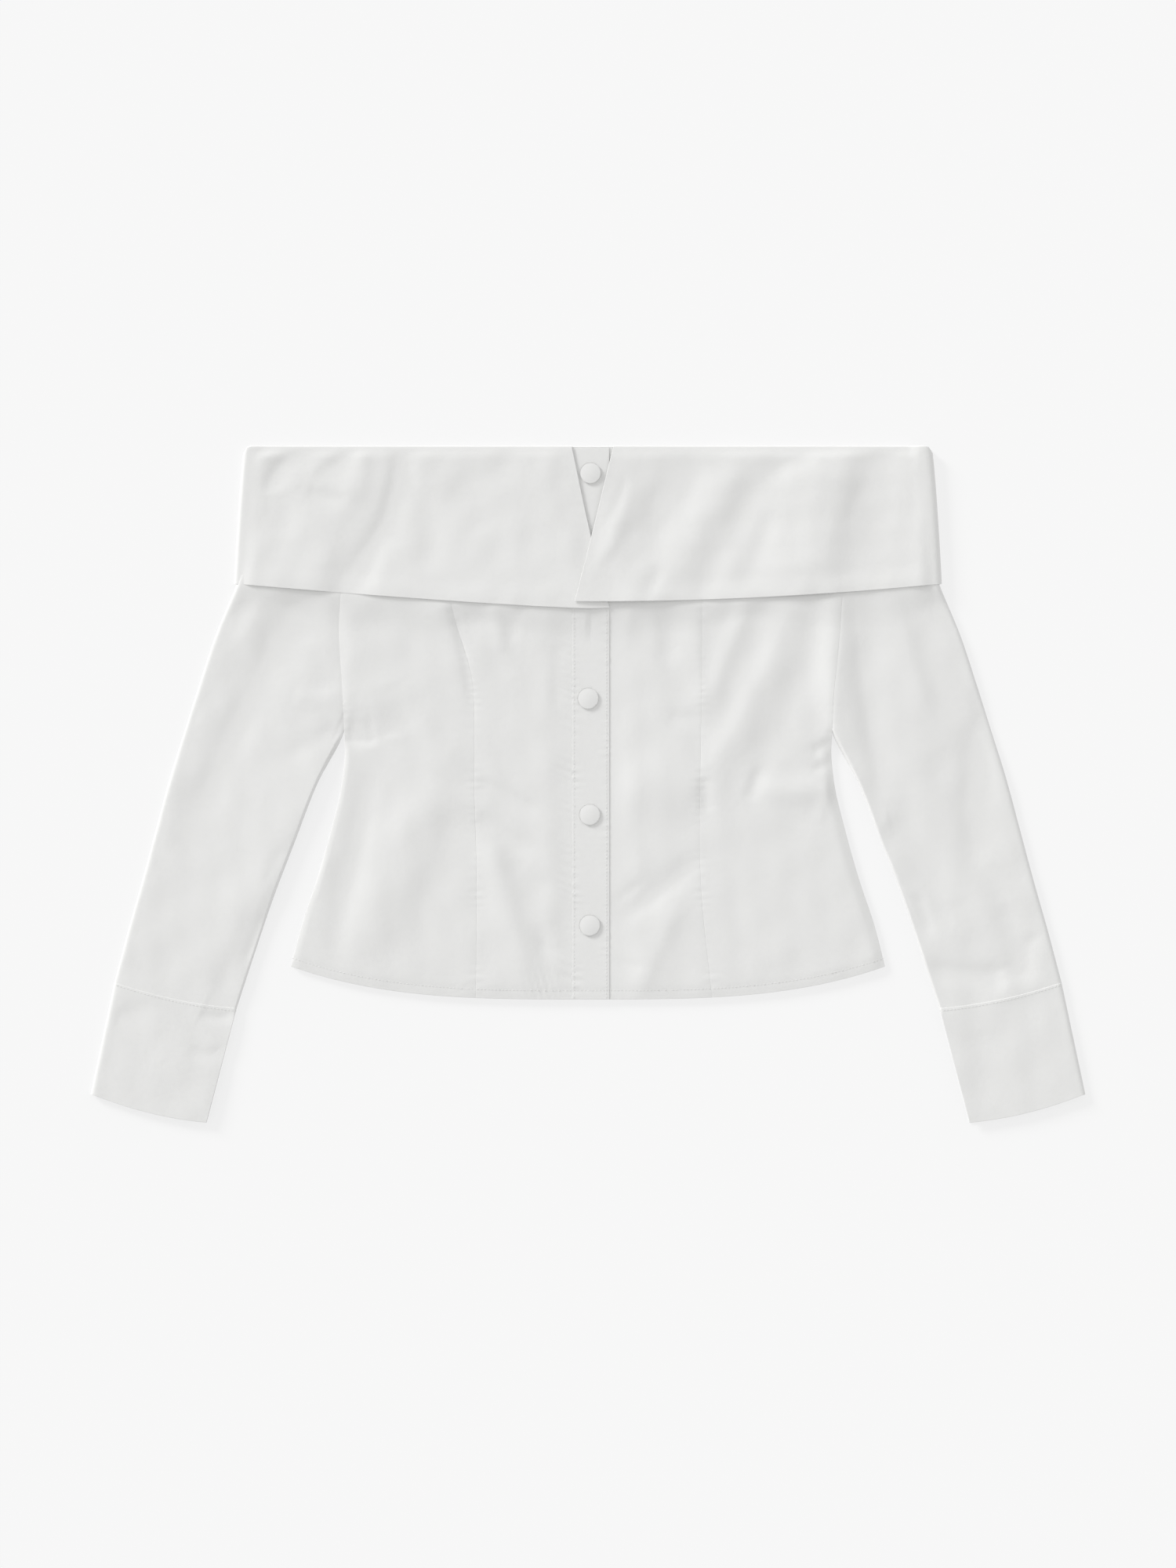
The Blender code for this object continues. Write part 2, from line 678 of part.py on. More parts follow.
def make_collar_back():
    down = np.linspace(0.0, 1.0, 4)
    across = np.linspace(-1.0, 1.0, 15)[None, :]
    x = np.zeros((len(down), across.shape[1]))
    for _ in range(8):
        low = back_edge_line(x)
        y = low + down[:, None] * (neck_line(x) - ROLL - low)
        x = across * (collar_side(y) - UNDERSIDE_STRIP - SEAM)
    outer = np.stack([x, y, np.zeros(x.shape)], axis=-1)
    inner = outer + (0.0, 0.0, WALL)
    outward = np.tile([0.0, 0.0, -1.0], (x.shape[1], 1))
    make_wall("collar_back", *rolled_over(outer, inner, outward))


def make_collar():
    collar_half("collar_left", "left", -1, collar_left_height)
    collar_half("collar_right", "right", 1, collar_right_height)
    make_collar_back()


# Buttons

def make_button(name, x, y):
    # A cloth-covered dome turned about its axis, resting on the placket.
    bm = bmesh.new()
    profile = [(0.0, 0.0), (0.86, 0.0), (1.0, 0.45 * BUTTON_RIM), (0.97, BUTTON_RIM)]
    profile = [(BUTTON_RADIUS * reach, rise) for reach, rise in profile]
    for step in range(1, 5):
        angle = math.pi / 2 * step / 4
        reach = 0.97 * BUTTON_RADIUS * math.cos(angle)
        profile.append((reach, BUTTON_RIM + BUTTON_DOME * math.sin(angle)))
    around = np.linspace(0.0, 2 * math.pi, 24, endpoint=False)
    near_x = x + BUTTON_RADIUS * np.cos(around)
    near_y = y + BUTTON_RADIUS * np.sin(around)
    seat = placket_height(near_x, near_y) + cloth_thickness(placket_height, near_x, near_y)
    base = float(np.max(seat)) + SEAM
    verts = [bm.verts.new((reach * MM, 0.0, rise * MM)) for reach, rise in profile]
    edges = [bm.edges.new(pair) for pair in zip(verts, verts[1:])]
    bmesh.ops.spin(
        bm, geom=verts + edges, cent=(0, 0, 0), axis=(0, 0, 1), angle=2 * math.pi,
        steps=BUTTON_SIDES, use_merge=True,
    )
    bmesh.ops.remove_doubles(bm, verts=bm.verts, dist=1e-6)
    bmesh.ops.translate(bm, verts=bm.verts, vec=(x * MM, y * MM, base * MM))
    return make_object(name, bm, COVERED)


def main():
    for thing in list(bpy.data.objects):
        bpy.data.objects.remove(thing, do_unlink=True)
    make_body()
    make_sleeves()
    make_collar()
    for name, x, y in BUTTON_TABLE:
        make_button(name, x, y)


main()
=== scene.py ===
import math

import bmesh
import bpy
import numpy as np
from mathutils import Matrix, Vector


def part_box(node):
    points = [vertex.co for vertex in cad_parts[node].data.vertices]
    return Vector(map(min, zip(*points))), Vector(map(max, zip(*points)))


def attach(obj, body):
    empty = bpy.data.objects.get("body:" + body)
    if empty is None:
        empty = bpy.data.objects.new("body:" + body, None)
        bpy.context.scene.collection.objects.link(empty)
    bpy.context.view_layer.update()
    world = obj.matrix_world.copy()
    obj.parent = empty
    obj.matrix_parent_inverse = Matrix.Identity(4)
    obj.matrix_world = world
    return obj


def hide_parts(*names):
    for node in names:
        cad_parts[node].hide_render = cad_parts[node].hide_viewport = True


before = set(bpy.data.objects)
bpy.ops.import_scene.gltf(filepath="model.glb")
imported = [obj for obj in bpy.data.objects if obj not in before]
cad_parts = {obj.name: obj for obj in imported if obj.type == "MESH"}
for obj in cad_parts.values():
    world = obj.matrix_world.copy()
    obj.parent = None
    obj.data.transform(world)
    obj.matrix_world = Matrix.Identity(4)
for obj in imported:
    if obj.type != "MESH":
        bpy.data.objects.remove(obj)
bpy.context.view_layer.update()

# A white poplin blouse laid flat. Sizes are in millimetres until a mesh is made.
mm = 0.001

tiny = 1e-6

# Level is the step from one layer to the next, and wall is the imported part's own thickness.
cloth = {
    "level": 1.3, "wall": 1.0, "shell": 0.5, "seam": 0.3, "roll": 1.15, "puff": 1.1, "soften": 0.2,
    "lowest": -0.45, "grid": 2.4, "support": 0.3, "bulge": 0.15, "seamGap": 0.04, "rounds": 8,
}
print("frame loaded")


def smoothStep(value, start, stop):
    part = np.clip((value - start) / (stop - start), 0.0, 1.0)
    return part * part * (3.0 - 2.0 * part)


def curveThrough(keys, values, at):
    keys = np.asarray(keys, dtype=float)
    values = np.asarray(values, dtype=float)
    slopes = np.gradient(values, keys)
    at = np.clip(at, keys[0], keys[-1])
    place = np.clip(np.searchsorted(keys, at, side="right") - 1, 0, len(keys) - 2)
    span = keys[place + 1] - keys[place]
    part = (at - keys[place]) / span
    value = (2 * part**3 - 3 * part**2 + 1) * values[place]
    value = value + (part**3 - 2 * part**2 + part) * span * slopes[place]
    value = value + (3 * part**2 - 2 * part**3) * values[place + 1]
    return value + (part**3 - part**2) * span * slopes[place + 1]


def tableLine(table, column, at):
    return curveThrough([row[0] for row in table], [row[column] for row in table], at)


body = {
    "hemCentre": -175.4, "hemHalf": 242.0, "cornerRise": 26.8, "hemPower": 3.2, "underarm": 44.0,
    "rows": 190, "topRows": 14, "backRows": 60, "backTopRows": 10,
    "side": [
        # y, left, right
        (-150.0, 242.6, 242.6), (-115.0, 233.6, 233.6), (-76.5, 220.8, 220.8),
        (-38.0, 209.9, 209.9), (0.0, 201.0, 201.0), (26.0, 198.4, 198.4),
        (44.0, 199.0, 199.0), (71.0, 200.0, 200.2),
        (103.0, 202.2, 203.3), (125.0, 203.2, 205.3), (154.0, 201.6, 207.0), (215.0, 201.0, 206.0),
        (280.0, 202.0, 205.0),
    ],
    "princess": [
        # y, left, right
        (-180.0, -91.6, 102.0), (-132.0, -91.0, 96.6), (-110.0, -90.9, 94.2), (-68.0, -90.9, 91.5),
        (0.0, -92.8, 91.5), (47.0, -92.8, 92.3), (88.0, -94.9, 92.9), (109.0, -100.5, 93.0),
        (130.0, -107.3, 93.0), (149.0, -112.0, 93.0), (215.0, -119.0, 96.0), (280.0, -122.0, 99.0),
    ],
}
placket = {
    "left": -12.8, "right": 17.3, "rise": 0.48, "shell": 0.4, "standGap": 0.5, "climb": 48.0,
    "step": 0.15, "underCollar": 0.1, "collarReach": (42.0, 2.0, 45.0, 3.0),
}
neck = {
    "top": 276.0, "half": 280.0, "corner": 5.0, "cornerEase": 1.009, "lowHalf": 288.6,
    "sideDepth": 112.0, "sidePower": 0.7, "backEdge": 145.0, "backRise": 18.5,
    "liftStart": 7.0, "liftEnd": 1.0, "liftRows": 3,
}


def hemLine(x):
    share = np.abs(x) / body["hemHalf"]
    return body["hemCentre"] + body["cornerRise"] * share ** body["hemPower"]


def backEdgeLine(x):
    return neck["backEdge"] + neck["backRise"] * (x / neck["lowHalf"]) ** 2


def neckLine(x):
    past = np.clip(np.abs(x) - (neck["half"] - neck["corner"]), 0.0, neck["corner"])
    return neck["top"] - neck["corner"] + np.sqrt(neck["corner"] ** 2 - past**2)


def seamLine(x):
    return neckLine(x * neck["cornerEase"]) - cloth["roll"] - cloth["seam"]


def collarSide(y):
    drop = np.clip((neck["top"] - y) / neck["sideDepth"], 0.0, 1.0)
    return neck["half"] + (neck["lowHalf"] - neck["half"]) * drop ** neck["sidePower"]


def bodySide(y, side):
    return side * tableLine(body["side"], 1 if side < 0 else 2, y)


def princessLine(y, side):
    return tableLine(body["princess"], 1 if side < 0 else 2, y)


# A fold's row is x0, y0, x1, y1, x2, y2, rise, left width, right width. A ridge rises and a trough
# has a negative rise. The widths are to the left and right of the path from its first point on.
foldShape = {"reach": 2.6, "points": 15, "before": 0.12, "grown": 0.24}


def foldHeight(fold, x, y):
    x0, y0, x1, y1, x2, y2, rise, leftWidth, rightWidth = fold
    reach = foldShape["reach"] * max(leftWidth, rightWidth)
    box = np.array([(x0, y0), (x1, y1), (x2, y2)], dtype=float)
    start, middle, stop = box
    near = (x > box[:, 0].min() - reach) & (x < box[:, 0].max() + reach)
    near &= (y > box[:, 1].min() - reach) & (y < box[:, 1].max() + reach)
    height = np.zeros(x.shape)
    if not near.any():
        return height
    px = x[near]
    py = y[near]
    pull = 2 * middle - (start + stop) / 2
    steps = np.linspace(0.0, 1.0, foldShape["points"])[:, None]
    path = (1 - steps) ** 2 * start + 2 * steps * (1 - steps) * pull + steps**2 * stop
    nearest = np.full(px.shape, np.inf)
    along = np.zeros(px.shape)
    for index in range(len(path) - 1):
        a = path[index]
        edge = path[index + 1] - a
        part = np.clip(((px - a[0]) * edge[0] + (py - a[1]) * edge[1]) / edge.dot(edge), 0, 1)
        offX = px - a[0] - part * edge[0]
        offY = py - a[1] - part * edge[1]
        turned = np.sign(edge[0] * offY - edge[1] * offX)
        distance = np.hypot(offX, offY)
        closer = distance < np.abs(nearest)
        nearest = np.where(closer, np.where(turned < 0, -distance, distance), nearest)
        along = np.where(closer, (index + part) / (len(path) - 1), along)
    width = np.where(nearest > 0, leftWidth, rightWidth)
    before, grown = foldShape["before"], foldShape["grown"]
    ends = smoothStep(along, -before, grown) * smoothStep(-along, -1 - before, grown - 1)
    height[near] = rise * ends * np.exp(-((nearest / width) ** 2))
    return height


def foldSum(folds, x, y):
    return sum(foldHeight(fold, x, y) for fold in folds)


# Sewing shows as short uneven puckers and a groove. A pucker row gives its wave length, rise and
# reach, a groove row its depth and half width, and a wave row its rise, length and shift.
sewing = {
    "puckers": {
        "princess": (6.8, 0.22, 4.5), "armhole": (5.6, 0.26, 6.0), "hem": (6.4, 0.16, 5.5),
        "placketSeam": (6.6, 0.28, 7.0), "placketLeft": (6.2, 0.27, 5.0),
        "placketRight": (7.4, 0.17, 5.0), "collarFront": (7.2, 0.14, 9.0),
    },
    "grooves": {
        "princess": (0.10, 1.1), "armhole": (0.14, 1.3), "hem": (0.12, 1.0), "placket": (0.10, 0.8),
    },
    "drift": [(2.6, 17.0, 0.7), (1.5, 6.9, 2.1)],
    "strength": [(0.34, 12.7, 2.0), (0.24, 5.3, 0.4)],
    "spread": [(0.35, 8.3, 1.1)],
    "lean": [(0.35, 29.0, 0.0)],
    "coarse": 0.75, "fine": 0.35, "fineLength": 0.61, "fineDrift": 1.7, "fineSlant": 0.5,
    "mean": 0.52, "weakest": 0.08,
    "armGroove": 6.0, "armBelow": 22.0, "armFull": 8.0, "armAbove": 36.0,
    "hemLine": 7.2, "hemPucker": 6.0, "hemSlant": 0.8, "seamPucker": 4.0, "seamSlant": 0.5,
    "placketLine": 1.6, "placketFree": 2.2, "placketPucker": 1.0, "placketShift": 40.0,
    "placketLowest": -0.15,
    "gatherAt": (-37.0, -165.0), "gatherReach": 13.0, "gatherRise": 0.38, "gatherLength": 5.6,
    "gatherSlant": 0.25,
}


def waves(rows, along):
    return sum(rise * np.sin(along / length + shift) for rise, length, shift in rows)


def pucker(distance, along, kind):
    length, rise, reach = sewing["puckers"][kind]
    drift = waves(sewing["drift"], along)
    slanted = (along + sewing["fineSlant"] * distance) / (sewing["fineLength"] * length)
    wave = sewing["coarse"] * np.sin(2 * math.pi * along / length + drift)
    wave = wave + sewing["fine"] * np.sin(2 * math.pi * slanted + sewing["fineDrift"] * drift)
    strength = np.maximum(sewing["mean"] + waves(sewing["strength"], along), sewing["weakest"])
    spread = reach * (1.0 + waves(sewing["spread"], along))
    side = 1.0 + np.tanh(distance / reach) * waves(sewing["lean"], along)
    return rise * strength * side * wave * np.exp(-((distance / spread) ** 2))


def groove(distance, kind):
    depth, width = sewing["grooves"][kind]
    return depth * np.exp(-((distance / width) ** 2))


# Faint broad waves that keep flat cloth from being a plane.
mottle = {
    "rise": 0.17, "waves": 9, "bend": (0.4, 1.0), "curl": 2.2,
    "seed": {"body": 7, "left": 11, "right": 13},
    "length": {"body": (16, 55), "left": (18, 60), "right": (18, 60)},
}


def unevenness(x, y, place):
    chance = np.random.default_rng(mottle["seed"][place])
    height = np.zeros(x.shape)
    for _ in range(mottle["waves"]):
        turn = chance.uniform(0, math.pi)
        length = chance.uniform(*mottle["length"][place])
        shift = chance.uniform(0, 2 * math.pi)
        bend = chance.uniform(*mottle["bend"])
        way = x * math.cos(turn) + y * math.sin(turn)
        side = y * math.cos(turn) - x * math.sin(turn)
        sway = bend * np.sin(side / length * mottle["curl"] + shift)
        height += np.sin(2 * math.pi * way / length + shift + sway)
    return mottle["rise"] * height / math.sqrt(mottle["waves"])


bodyFolds = [
    (-203, 154, -203, 122, -201, 88, -0.7, 5, 7),
    (-191, 150, -190, 122, -192, 92, 0.4, 9, 7),
    (-121, 152, -114, 124, -101, 84, 0.9, 7, 13),
    (-198, 38, -185, 37, -171, 38, -1.3, 17, 5),
    (-200, 64, -180, 66, -152, 70, 0.9, 22, 16),
    (-113, 150, -103, 116, -94, 56, -0.5, 3, 4),
    (-164, 82, -158, 62, -150, 40, -0.6, 14, 14),
    (-186, 60, -182, 46, -176, 36, 0.4, 7, 6),
    (-152, 84, -138, 56, -112, 16, 0.6, 12, 12),
    (-176, 10, -189, -52, -208, -140, -1.4, 10, 12),
    (-124, 6, -152, -56, -194, -140, 1.7, 26, 19),
    (-99, -14, -124, -70, -140, -154, -0.6, 14, 12),
    (-90, 4, -68, -7, -38, -24, -0.9, 5, 9),
    (-90, -24, -70, -39, -42, -56, -1.1, 6, 10),
    (-82, -46, -66, -98, -48, -166, 1.5, 10, 13),
    (-60, -60, -48, -76, -26, -84, -0.5, 7, 9),
    (-40, -112, -34, -140, -30, -168, -0.6, 8, 6),
    (-78, 148, -74, 130, -69, 104, 0.8, 6, 7),
    (-52, 150, -60, 132, -64, 112, -0.5, 6, 6),
    (-22, 116, -24, 92, -26, 58, -0.6, 6, 6),
    (-40, -128, -30, -134, -16, -138, -0.5, 5, 6),
    (133, 154, 115, 112, 96, 60, 1.2, 9, 10),
    (88, 146, 90, 100, 92, 58, 0.7, 6, 9),
    (168, 148, 146, 92, 96, 0, 1.6, 19, 12),
    (182, 126, 164, 64, 132, 8, -0.8, 13, 18),
    (205, 156, 203, 104, 199, 46, 1.6, 18, 14),
    (206, 158, 204, 60, 236, -40, 1.4, 62, 14),
    (197, 36, 191, 30, 182, 28, -0.9, 5, 5),
    (198, 18, 191, 14, 184, 15, -0.7, 4, 5),
    (56, 152, 64, 128, 66, 96, -0.9, 9, 8),
    (34, 150, 30, 130, 30, 108, 0.6, 8, 8),
    (66, 58, 78, 54, 92, 56, -0.6, 6, 8),
    (18, -3, 54, 0, 93, 4, 1.9, 26, 24),
    (93, -56, 60, -86, 20, -112, -1.1, 9, 10),
    (44, -80, 31, -90, 20, -100, -0.6, 4, 6),
    (74, -98, 56, -134, 42, -172, 1.1, 9, 13),
    (20, -140, 32, -146, 46, -150, -0.5, 4, 6),
    (136, -5, 168, -5, 199, -2, 1.3, 11, 11),
    (142, 14, 135, 0, 131, -14, -0.9, 7, 5),
    (98, 8, 95, -8, 98, -24, -0.7, 6, 5),
    (198, 2, 192, -16, 188, -34, 0.5, 5, 6),
    (112, -62, 118, -92, 122, -128, -0.5, 9, 12),
]
sleeveFolds = [
    (-262, 152, -272, 134, -286, 110, 0.8, 12, 8),
    (-285, 158, -290, 148, -297, 138, 0.5, 6, 6),
    (-236, 150, -280, 60, -325, -44, -1.4, 15, 12),
    (-338, 20, -343, -16, -350, -56, 0.6, 10, 7),
    (-240, 74, -222, 70, -202, 74, 0.8, 7, 11),
    (-202, 46, -222, 36, -246, 20, -0.6, 8, 9),
    (-210, 34, -250, -54, -304, -164, 1.8, 13, 28),
    (-234, 154, -230, 138, -226, 112, -0.9, 14, 14),
    (-268, -100, -288, -140, -304, -180, -0.7, 10, 8),
    (-245, -50, -256, -66, -262, -84, -0.4, 5, 6),
    (-262, -104, -270, -122, -280, -146, -0.5, 4, 5),
    (-326, -214, -310, -220, -298, -214, -0.7, 5, 8),
    (-316, -186, -304, -190, -290, -188, -0.8, 4, 5),
    (-300, -268, -330, -232, -352, -214, 0.6, 14, 14),
    (-390, -196, -374, -186, -352, -182, -0.5, 7, 10),
    (218, 156, 228, 64, 242, -12, -1.6, 26, 10),
    (250, 154, 264, 96, 284, 36, 1.1, 9, 15),
    (236, 110, 258, 30, 300, -84, 0.7, 16, 16),
    (322, 62, 316, 6, 320, -66, -1.7, 15, 11),
    (326, 58, 324, 46, 320, 34, -0.6, 4, 5),
    (240, -34, 268, -58, 294, -96, -1.6, 15, 12),
    (268, -88, 274, -106, 279, -124, -0.7, 5, 6),
    (338, -96, 348, -128, 356, -160, -1.3, 9, 10),
    (274, -149, 312, -154, 348, -152, -1.1, 7, 10),
    (336, -152, 341, -160, 344, -168, 0.6, 6, 6),
    (352, -146, 358, -132, 368, -122, -0.6, 5, 6),
    (330, -176, 352, -168, 372, -162, 0.5, 7, 6),
    (317, -200, 322, -232, 327, -266, -0.8, 12, 12),
]
collarFolds = {
    "left": [
        (-281, 256, -268, 266, -248, 274, 0.6, 5, 7),
        (-260, 236, -250, 260, -222, 276, -1.1, 6, 14),
        (-250, 240, -247, 222, -249, 200, -0.7, 11, 10),
        (-222, 246, -206, 262, -188, 274, -1.0, 6, 12),
        (-230, 240, -212, 234, -194, 233, -0.7, 6, 8),
        (-155, 278, -165, 212, -208, 150, -1.7, 15, 8),
        (-186, 274, -184, 252, -190, 226, 0.7, 8, 10),
        (-150, 262, -146, 252, -140, 240, -0.4, 5, 6),
        (-130, 246, -131, 210, -130, 170, -0.9, 12, 13),
        (-50, 268, -88, 250, -121, 219, -0.8, 14, 12),
        (-94, 240, -90, 222, -84, 204, -0.5, 12, 13),
        (-196, 258, -208, 205, -226, 148, 0.9, 11, 45),
        (-180, 198, -196, 172, -212, 146, -0.8, 15, 11),
        (-158, 200, -164, 180, -172, 150, 0.5, 16, 12),
        (-20, 254, -21, 236, -14, 216, -0.5, 9, 9),
    ],
    "right": [
        (29, 252, 24, 232, 10, 208, -0.6, 5, 4),
        (36, 240, 22, 206, 0, 170, 0.35, 6, 5),
        (82, 272, 62, 240, 52, 212, -0.8, 12, 13),
        (98, 274, 55, 208, 4, 154, -1.2, 15, 13),
        (46, 222, 30, 196, 8, 170, -0.35, 8, 6),
        (128, 270, 92, 210, 60, 150, 1.2, 12, 15),
        (60, 178, 53, 164, 47, 150, -0.6, 6, 7),
        (161, 276, 120, 208, 90, 150, -1.2, 12, 12),
        (186, 274, 168, 264, 150, 252, -0.7, 9, 7),
        (152, 226, 138, 190, 125, 150, -0.9, 9, 11),
        (206, 268, 194, 214, 188, 146, 2.9, 18, 40),
        (244, 276, 232, 232, 234, 158, -1.2, 20, 15),
        (224, 244, 216, 228, 211, 210, -0.25, 6, 5),
        (274, 274, 275, 230, 276, 160, 0.8, 10, 13),
    ],
}
# The front rows give y and x. The free edge has its height at the centre, its rise to the side and
# its power.
collarHalf = {
    "sidePuff": {"left": 1.2, "right": 2.2}, "turn": {"left": 3.6, "right": 6.5},
    "puff": 1.3, "strip": 22.0, "level": 0.7, "thickness": 0.6,
    "front": {
        "left": [(140.0, 18.6), (200.0, 3.0), (276.0, -13.4)],
        "right": [(140.0, -13.2), (200.0, 2.2), (276.0, 20.9)],
    },
    "edge": {"left": (143.4, 20.1, 1.25), "right": (149.0, 14.5, 2.0)},
    "topPuff": 0.3, "topFade": (10.0, 1.0), "frontPuff": 0.2, "frontShare": 0.2, "frontFade": 24.0,
    "puckersFrom": 206.0, "puckersFull": 222.0, "sideFade": (20.0, 5.0), "foldFade": 12.0,
    "overLeft": (62.0, 3.0), "rows": 54, "columns": 122, "foldRows": 11, "stripRows": 7,
    "rollRows": 9, "backRows": 30, "backColumns": 90, "guess": (100.0, 200.0),
}


def collarEdge(x, half):
    centre, rise, power = collarHalf["edge"][half]
    return centre + rise * (np.abs(x) / neck["lowHalf"]) ** power


def freeEdge(x):
    return np.where(x < 0, collarEdge(x, "left"), collarEdge(x, "right"))


def collarFront(y, half):
    return tableLine(collarHalf["front"][half], 1, y)


def neverBelow(height):
    return 0.5 * (height + np.sqrt(height * height + cloth["soften"]))


def collarLift(x, y):
    edge = backEdgeLine(x)
    return cloth["level"] * smoothStep(y, edge - neck["liftStart"], edge - neck["liftEnd"])


# The front climbs to the free edge of the collar and drops again beneath it.
swell = {
    "rise": 1.5, "reach": 28.0, "reachWaves": [(0.22, 31.0, 0.8), (0.12, 12.0, 0.0)],
    "past": 2.0, "power": 1.25, "fade": (4.0, 22.0), "underCollar": 0.7, "underReach": 70.0,
    "foldShare": 0.6,
}


def frontLift(x, y):
    edge = freeEdge(x)
    reach = swell["reach"] * (1.0 + waves(swell["reachWaves"], x))
    climb = smoothStep(y, edge - reach, edge + swell["past"]) ** swell["power"]
    start, stop = swell["fade"]
    return climb * (cloth["level"] + swell["rise"] * (1 - smoothStep(y, edge + start, edge + stop)))


def sewingRelief(x, y, onSleeve):
    # Grooves and puckers along the seams and the hem.
    arm = body["underarm"]
    grooved = smoothStep(y, arm - sewing["armGroove"], arm)
    puckered = smoothStep(y, arm - sewing["armBelow"], arm)
    puckered = puckered * smoothStep(-y, -arm - sewing["armAbove"], -arm - sewing["armFull"])
    height = np.zeros(x.shape)
    for side in (-1, 1):
        away = x - princessLine(y, side)
        height += pucker(away, y, "princess") - groove(away, "princess")
        away = x - bodySide(y, side)
        height += pucker(away, y, "armhole") * puckered - groove(away, "armhole") * grooved
    if not onSleeve:
        up = y - hemLine(x)
        height += pucker(up - sewing["hemPucker"], x + sewing["hemSlant"] * up, "hem")
        height -= groove(up - sewing["hemLine"], "hem")
        gatherX, gatherY = sewing["gatherAt"]
        far = np.hypot(x - gatherX, y - gatherY) / sewing["gatherReach"]
        turns = (x + sewing["gatherSlant"] * y) / sewing["gatherLength"]
        height += sewing["gatherRise"] * np.exp(-far * far) * np.sin(2 * math.pi * turns)
        away = x - placket["left"] + sewing["seamPucker"]
        height += pucker(away, y + sewing["seamSlant"] * x, "placketSeam")
    return height


# Each pair says where the puff of the cloth is gone and where it is whole, measured inwards from
# that edge.
fade = {
    "underarm": (-8.0, 24.0), "sleeveSeam": (-0.6, 1.3), "hem": (-10.0, 14.0),
    "sideSeam": -1.0, "sideLeft": 2.2, "sideRight": 9.0, "pressed": 0.35, "pressedReach": 6.0,
    "placket": (22.0, 0.0, 26.0, 0.0), "placketShare": 0.7, "underCollar": (4.0, 22.0),
}


def nearPlacket(x, leftFar, leftNear, rightFar, rightNear):
    left = smoothStep(x, placket["left"] - leftFar, placket["left"] - leftNear)
    return left * smoothStep(-x, -placket["right"] - rightFar, -placket["right"] - rightNear)


def clothRelief(x, y, onSleeve):
    height = cloth["puff"] + foldSum(bodyFolds, x, y) + foldSum(sleeveFolds, x, y)
    height = neverBelow(height + unevenness(x, y, "body"))
    belowArm = smoothStep(body["underarm"] - y, *fade["underarm"])
    if onSleeve:
        inset = np.abs(x) - sleeveInner(y)
        height = height * (1 - belowArm * (1 - smoothStep(inset, *fade["sleeveSeam"])))
    else:
        inset = np.abs(bodySide(y, -1)) - np.abs(x)
        height = height * smoothStep(y - hemLine(x), *fade["hem"])
        whole = np.where(x < 0, fade["sideLeft"], fade["sideRight"])
        height = height * (1 - belowArm * (1 - smoothStep(inset, fade["sideSeam"], whole)))
        pressed = fade["pressed"] * (1 - smoothStep(inset, 0, fade["pressedReach"]))
        height = height - belowArm * pressed * (x > 0)
    height = height * (1 - fade["placketShare"] * nearPlacket(x, *fade["placket"]))
    height = height + sewingRelief(x, y, onSleeve)
    covered = smoothStep(y - backEdgeLine(x), *fade["underCollar"])
    return np.maximum(height, cloth["lowest"]) * (1 - covered)


def backTop(x, y):
    # Each function whose name ends in Top gives the height of the upper side of its cloth.
    return collarLift(x, y) + cloth["wall"]


def frontTop(x, y):
    return frontLift(x, y) + cloth["level"] + cloth["wall"] + clothRelief(x, y, False)


def frontLeftTop(x, y):
    # The left front climbs to just under the placket's top.
    climb = smoothStep(x, placket["left"] - placket["climb"], placket["left"] - 1)
    return frontTop(x, y) + (placket["rise"] - placket["step"]) * climb


def placketTop(x, y):
    inset = x - placket["left"]
    free = placket["right"] - x
    ripple = pucker(inset - sewing["placketPucker"], y, "placketLeft")
    ripple += pucker(free - sewing["placketPucker"], y + sewing["placketShift"], "placketRight")
    ripple = np.maximum(ripple, sewing["placketLowest"])
    ripple = ripple - groove(inset - sewing["placketLine"], "placket")
    return frontTop(x, y) + placket["rise"] + ripple


def sleeveTop(x, y):
    return frontLift(x, y) + cloth["level"] + cloth["wall"] + clothRelief(x, y, True)


def collarRelief(x, y, half):
    height = collarHalf["puff"] + foldSum(collarFolds[half], x, y)
    height = neverBelow(height + unevenness(x, y, half))
    start, stop = collarHalf["topFade"]
    atTop = smoothStep(y, neck["top"] - start, neck["top"] - stop)
    height = height + (collarHalf["topPuff"] - height) * atTop
    front = np.abs(x - collarFront(y, half))
    share = collarHalf["frontShare"]
    share = share + (1 - share) * smoothStep(front, 0, collarHalf["frontFade"])
    height = collarHalf["frontPuff"] + (height - collarHalf["frontPuff"]) * share
    if half == "left":
        puckered = smoothStep(y, collarHalf["puckersFrom"], collarHalf["puckersFull"])
        height += pucker(front, y, "collarFront") * puckered
    start, stop = collarHalf["sideFade"]
    side = smoothStep(np.abs(x), collarSide(y) - start, collarSide(y) - stop)
    return height + (collarHalf["sidePuff"][half] - height) * side


def bodiceTop(x, y):
    # What the collar lies on, smoothed where the placket is.
    rise = (placket["rise"] + placket["underCollar"]) * nearPlacket(x, *placket["collarReach"])
    base = 2 * cloth["level"] + cloth["wall"] + rise
    edge = freeEdge(x)
    under = 1 - smoothStep(y, edge, edge + swell["underReach"])
    folds = swell["foldShare"] * np.maximum(clothRelief(x, y, False), 0)
    return base + (swell["underCollar"] * swell["rise"] + folds) * under


def collarLeftTop(x, y):
    return bodiceTop(x, y) + collarHalf["level"] + collarRelief(x, y, "left")


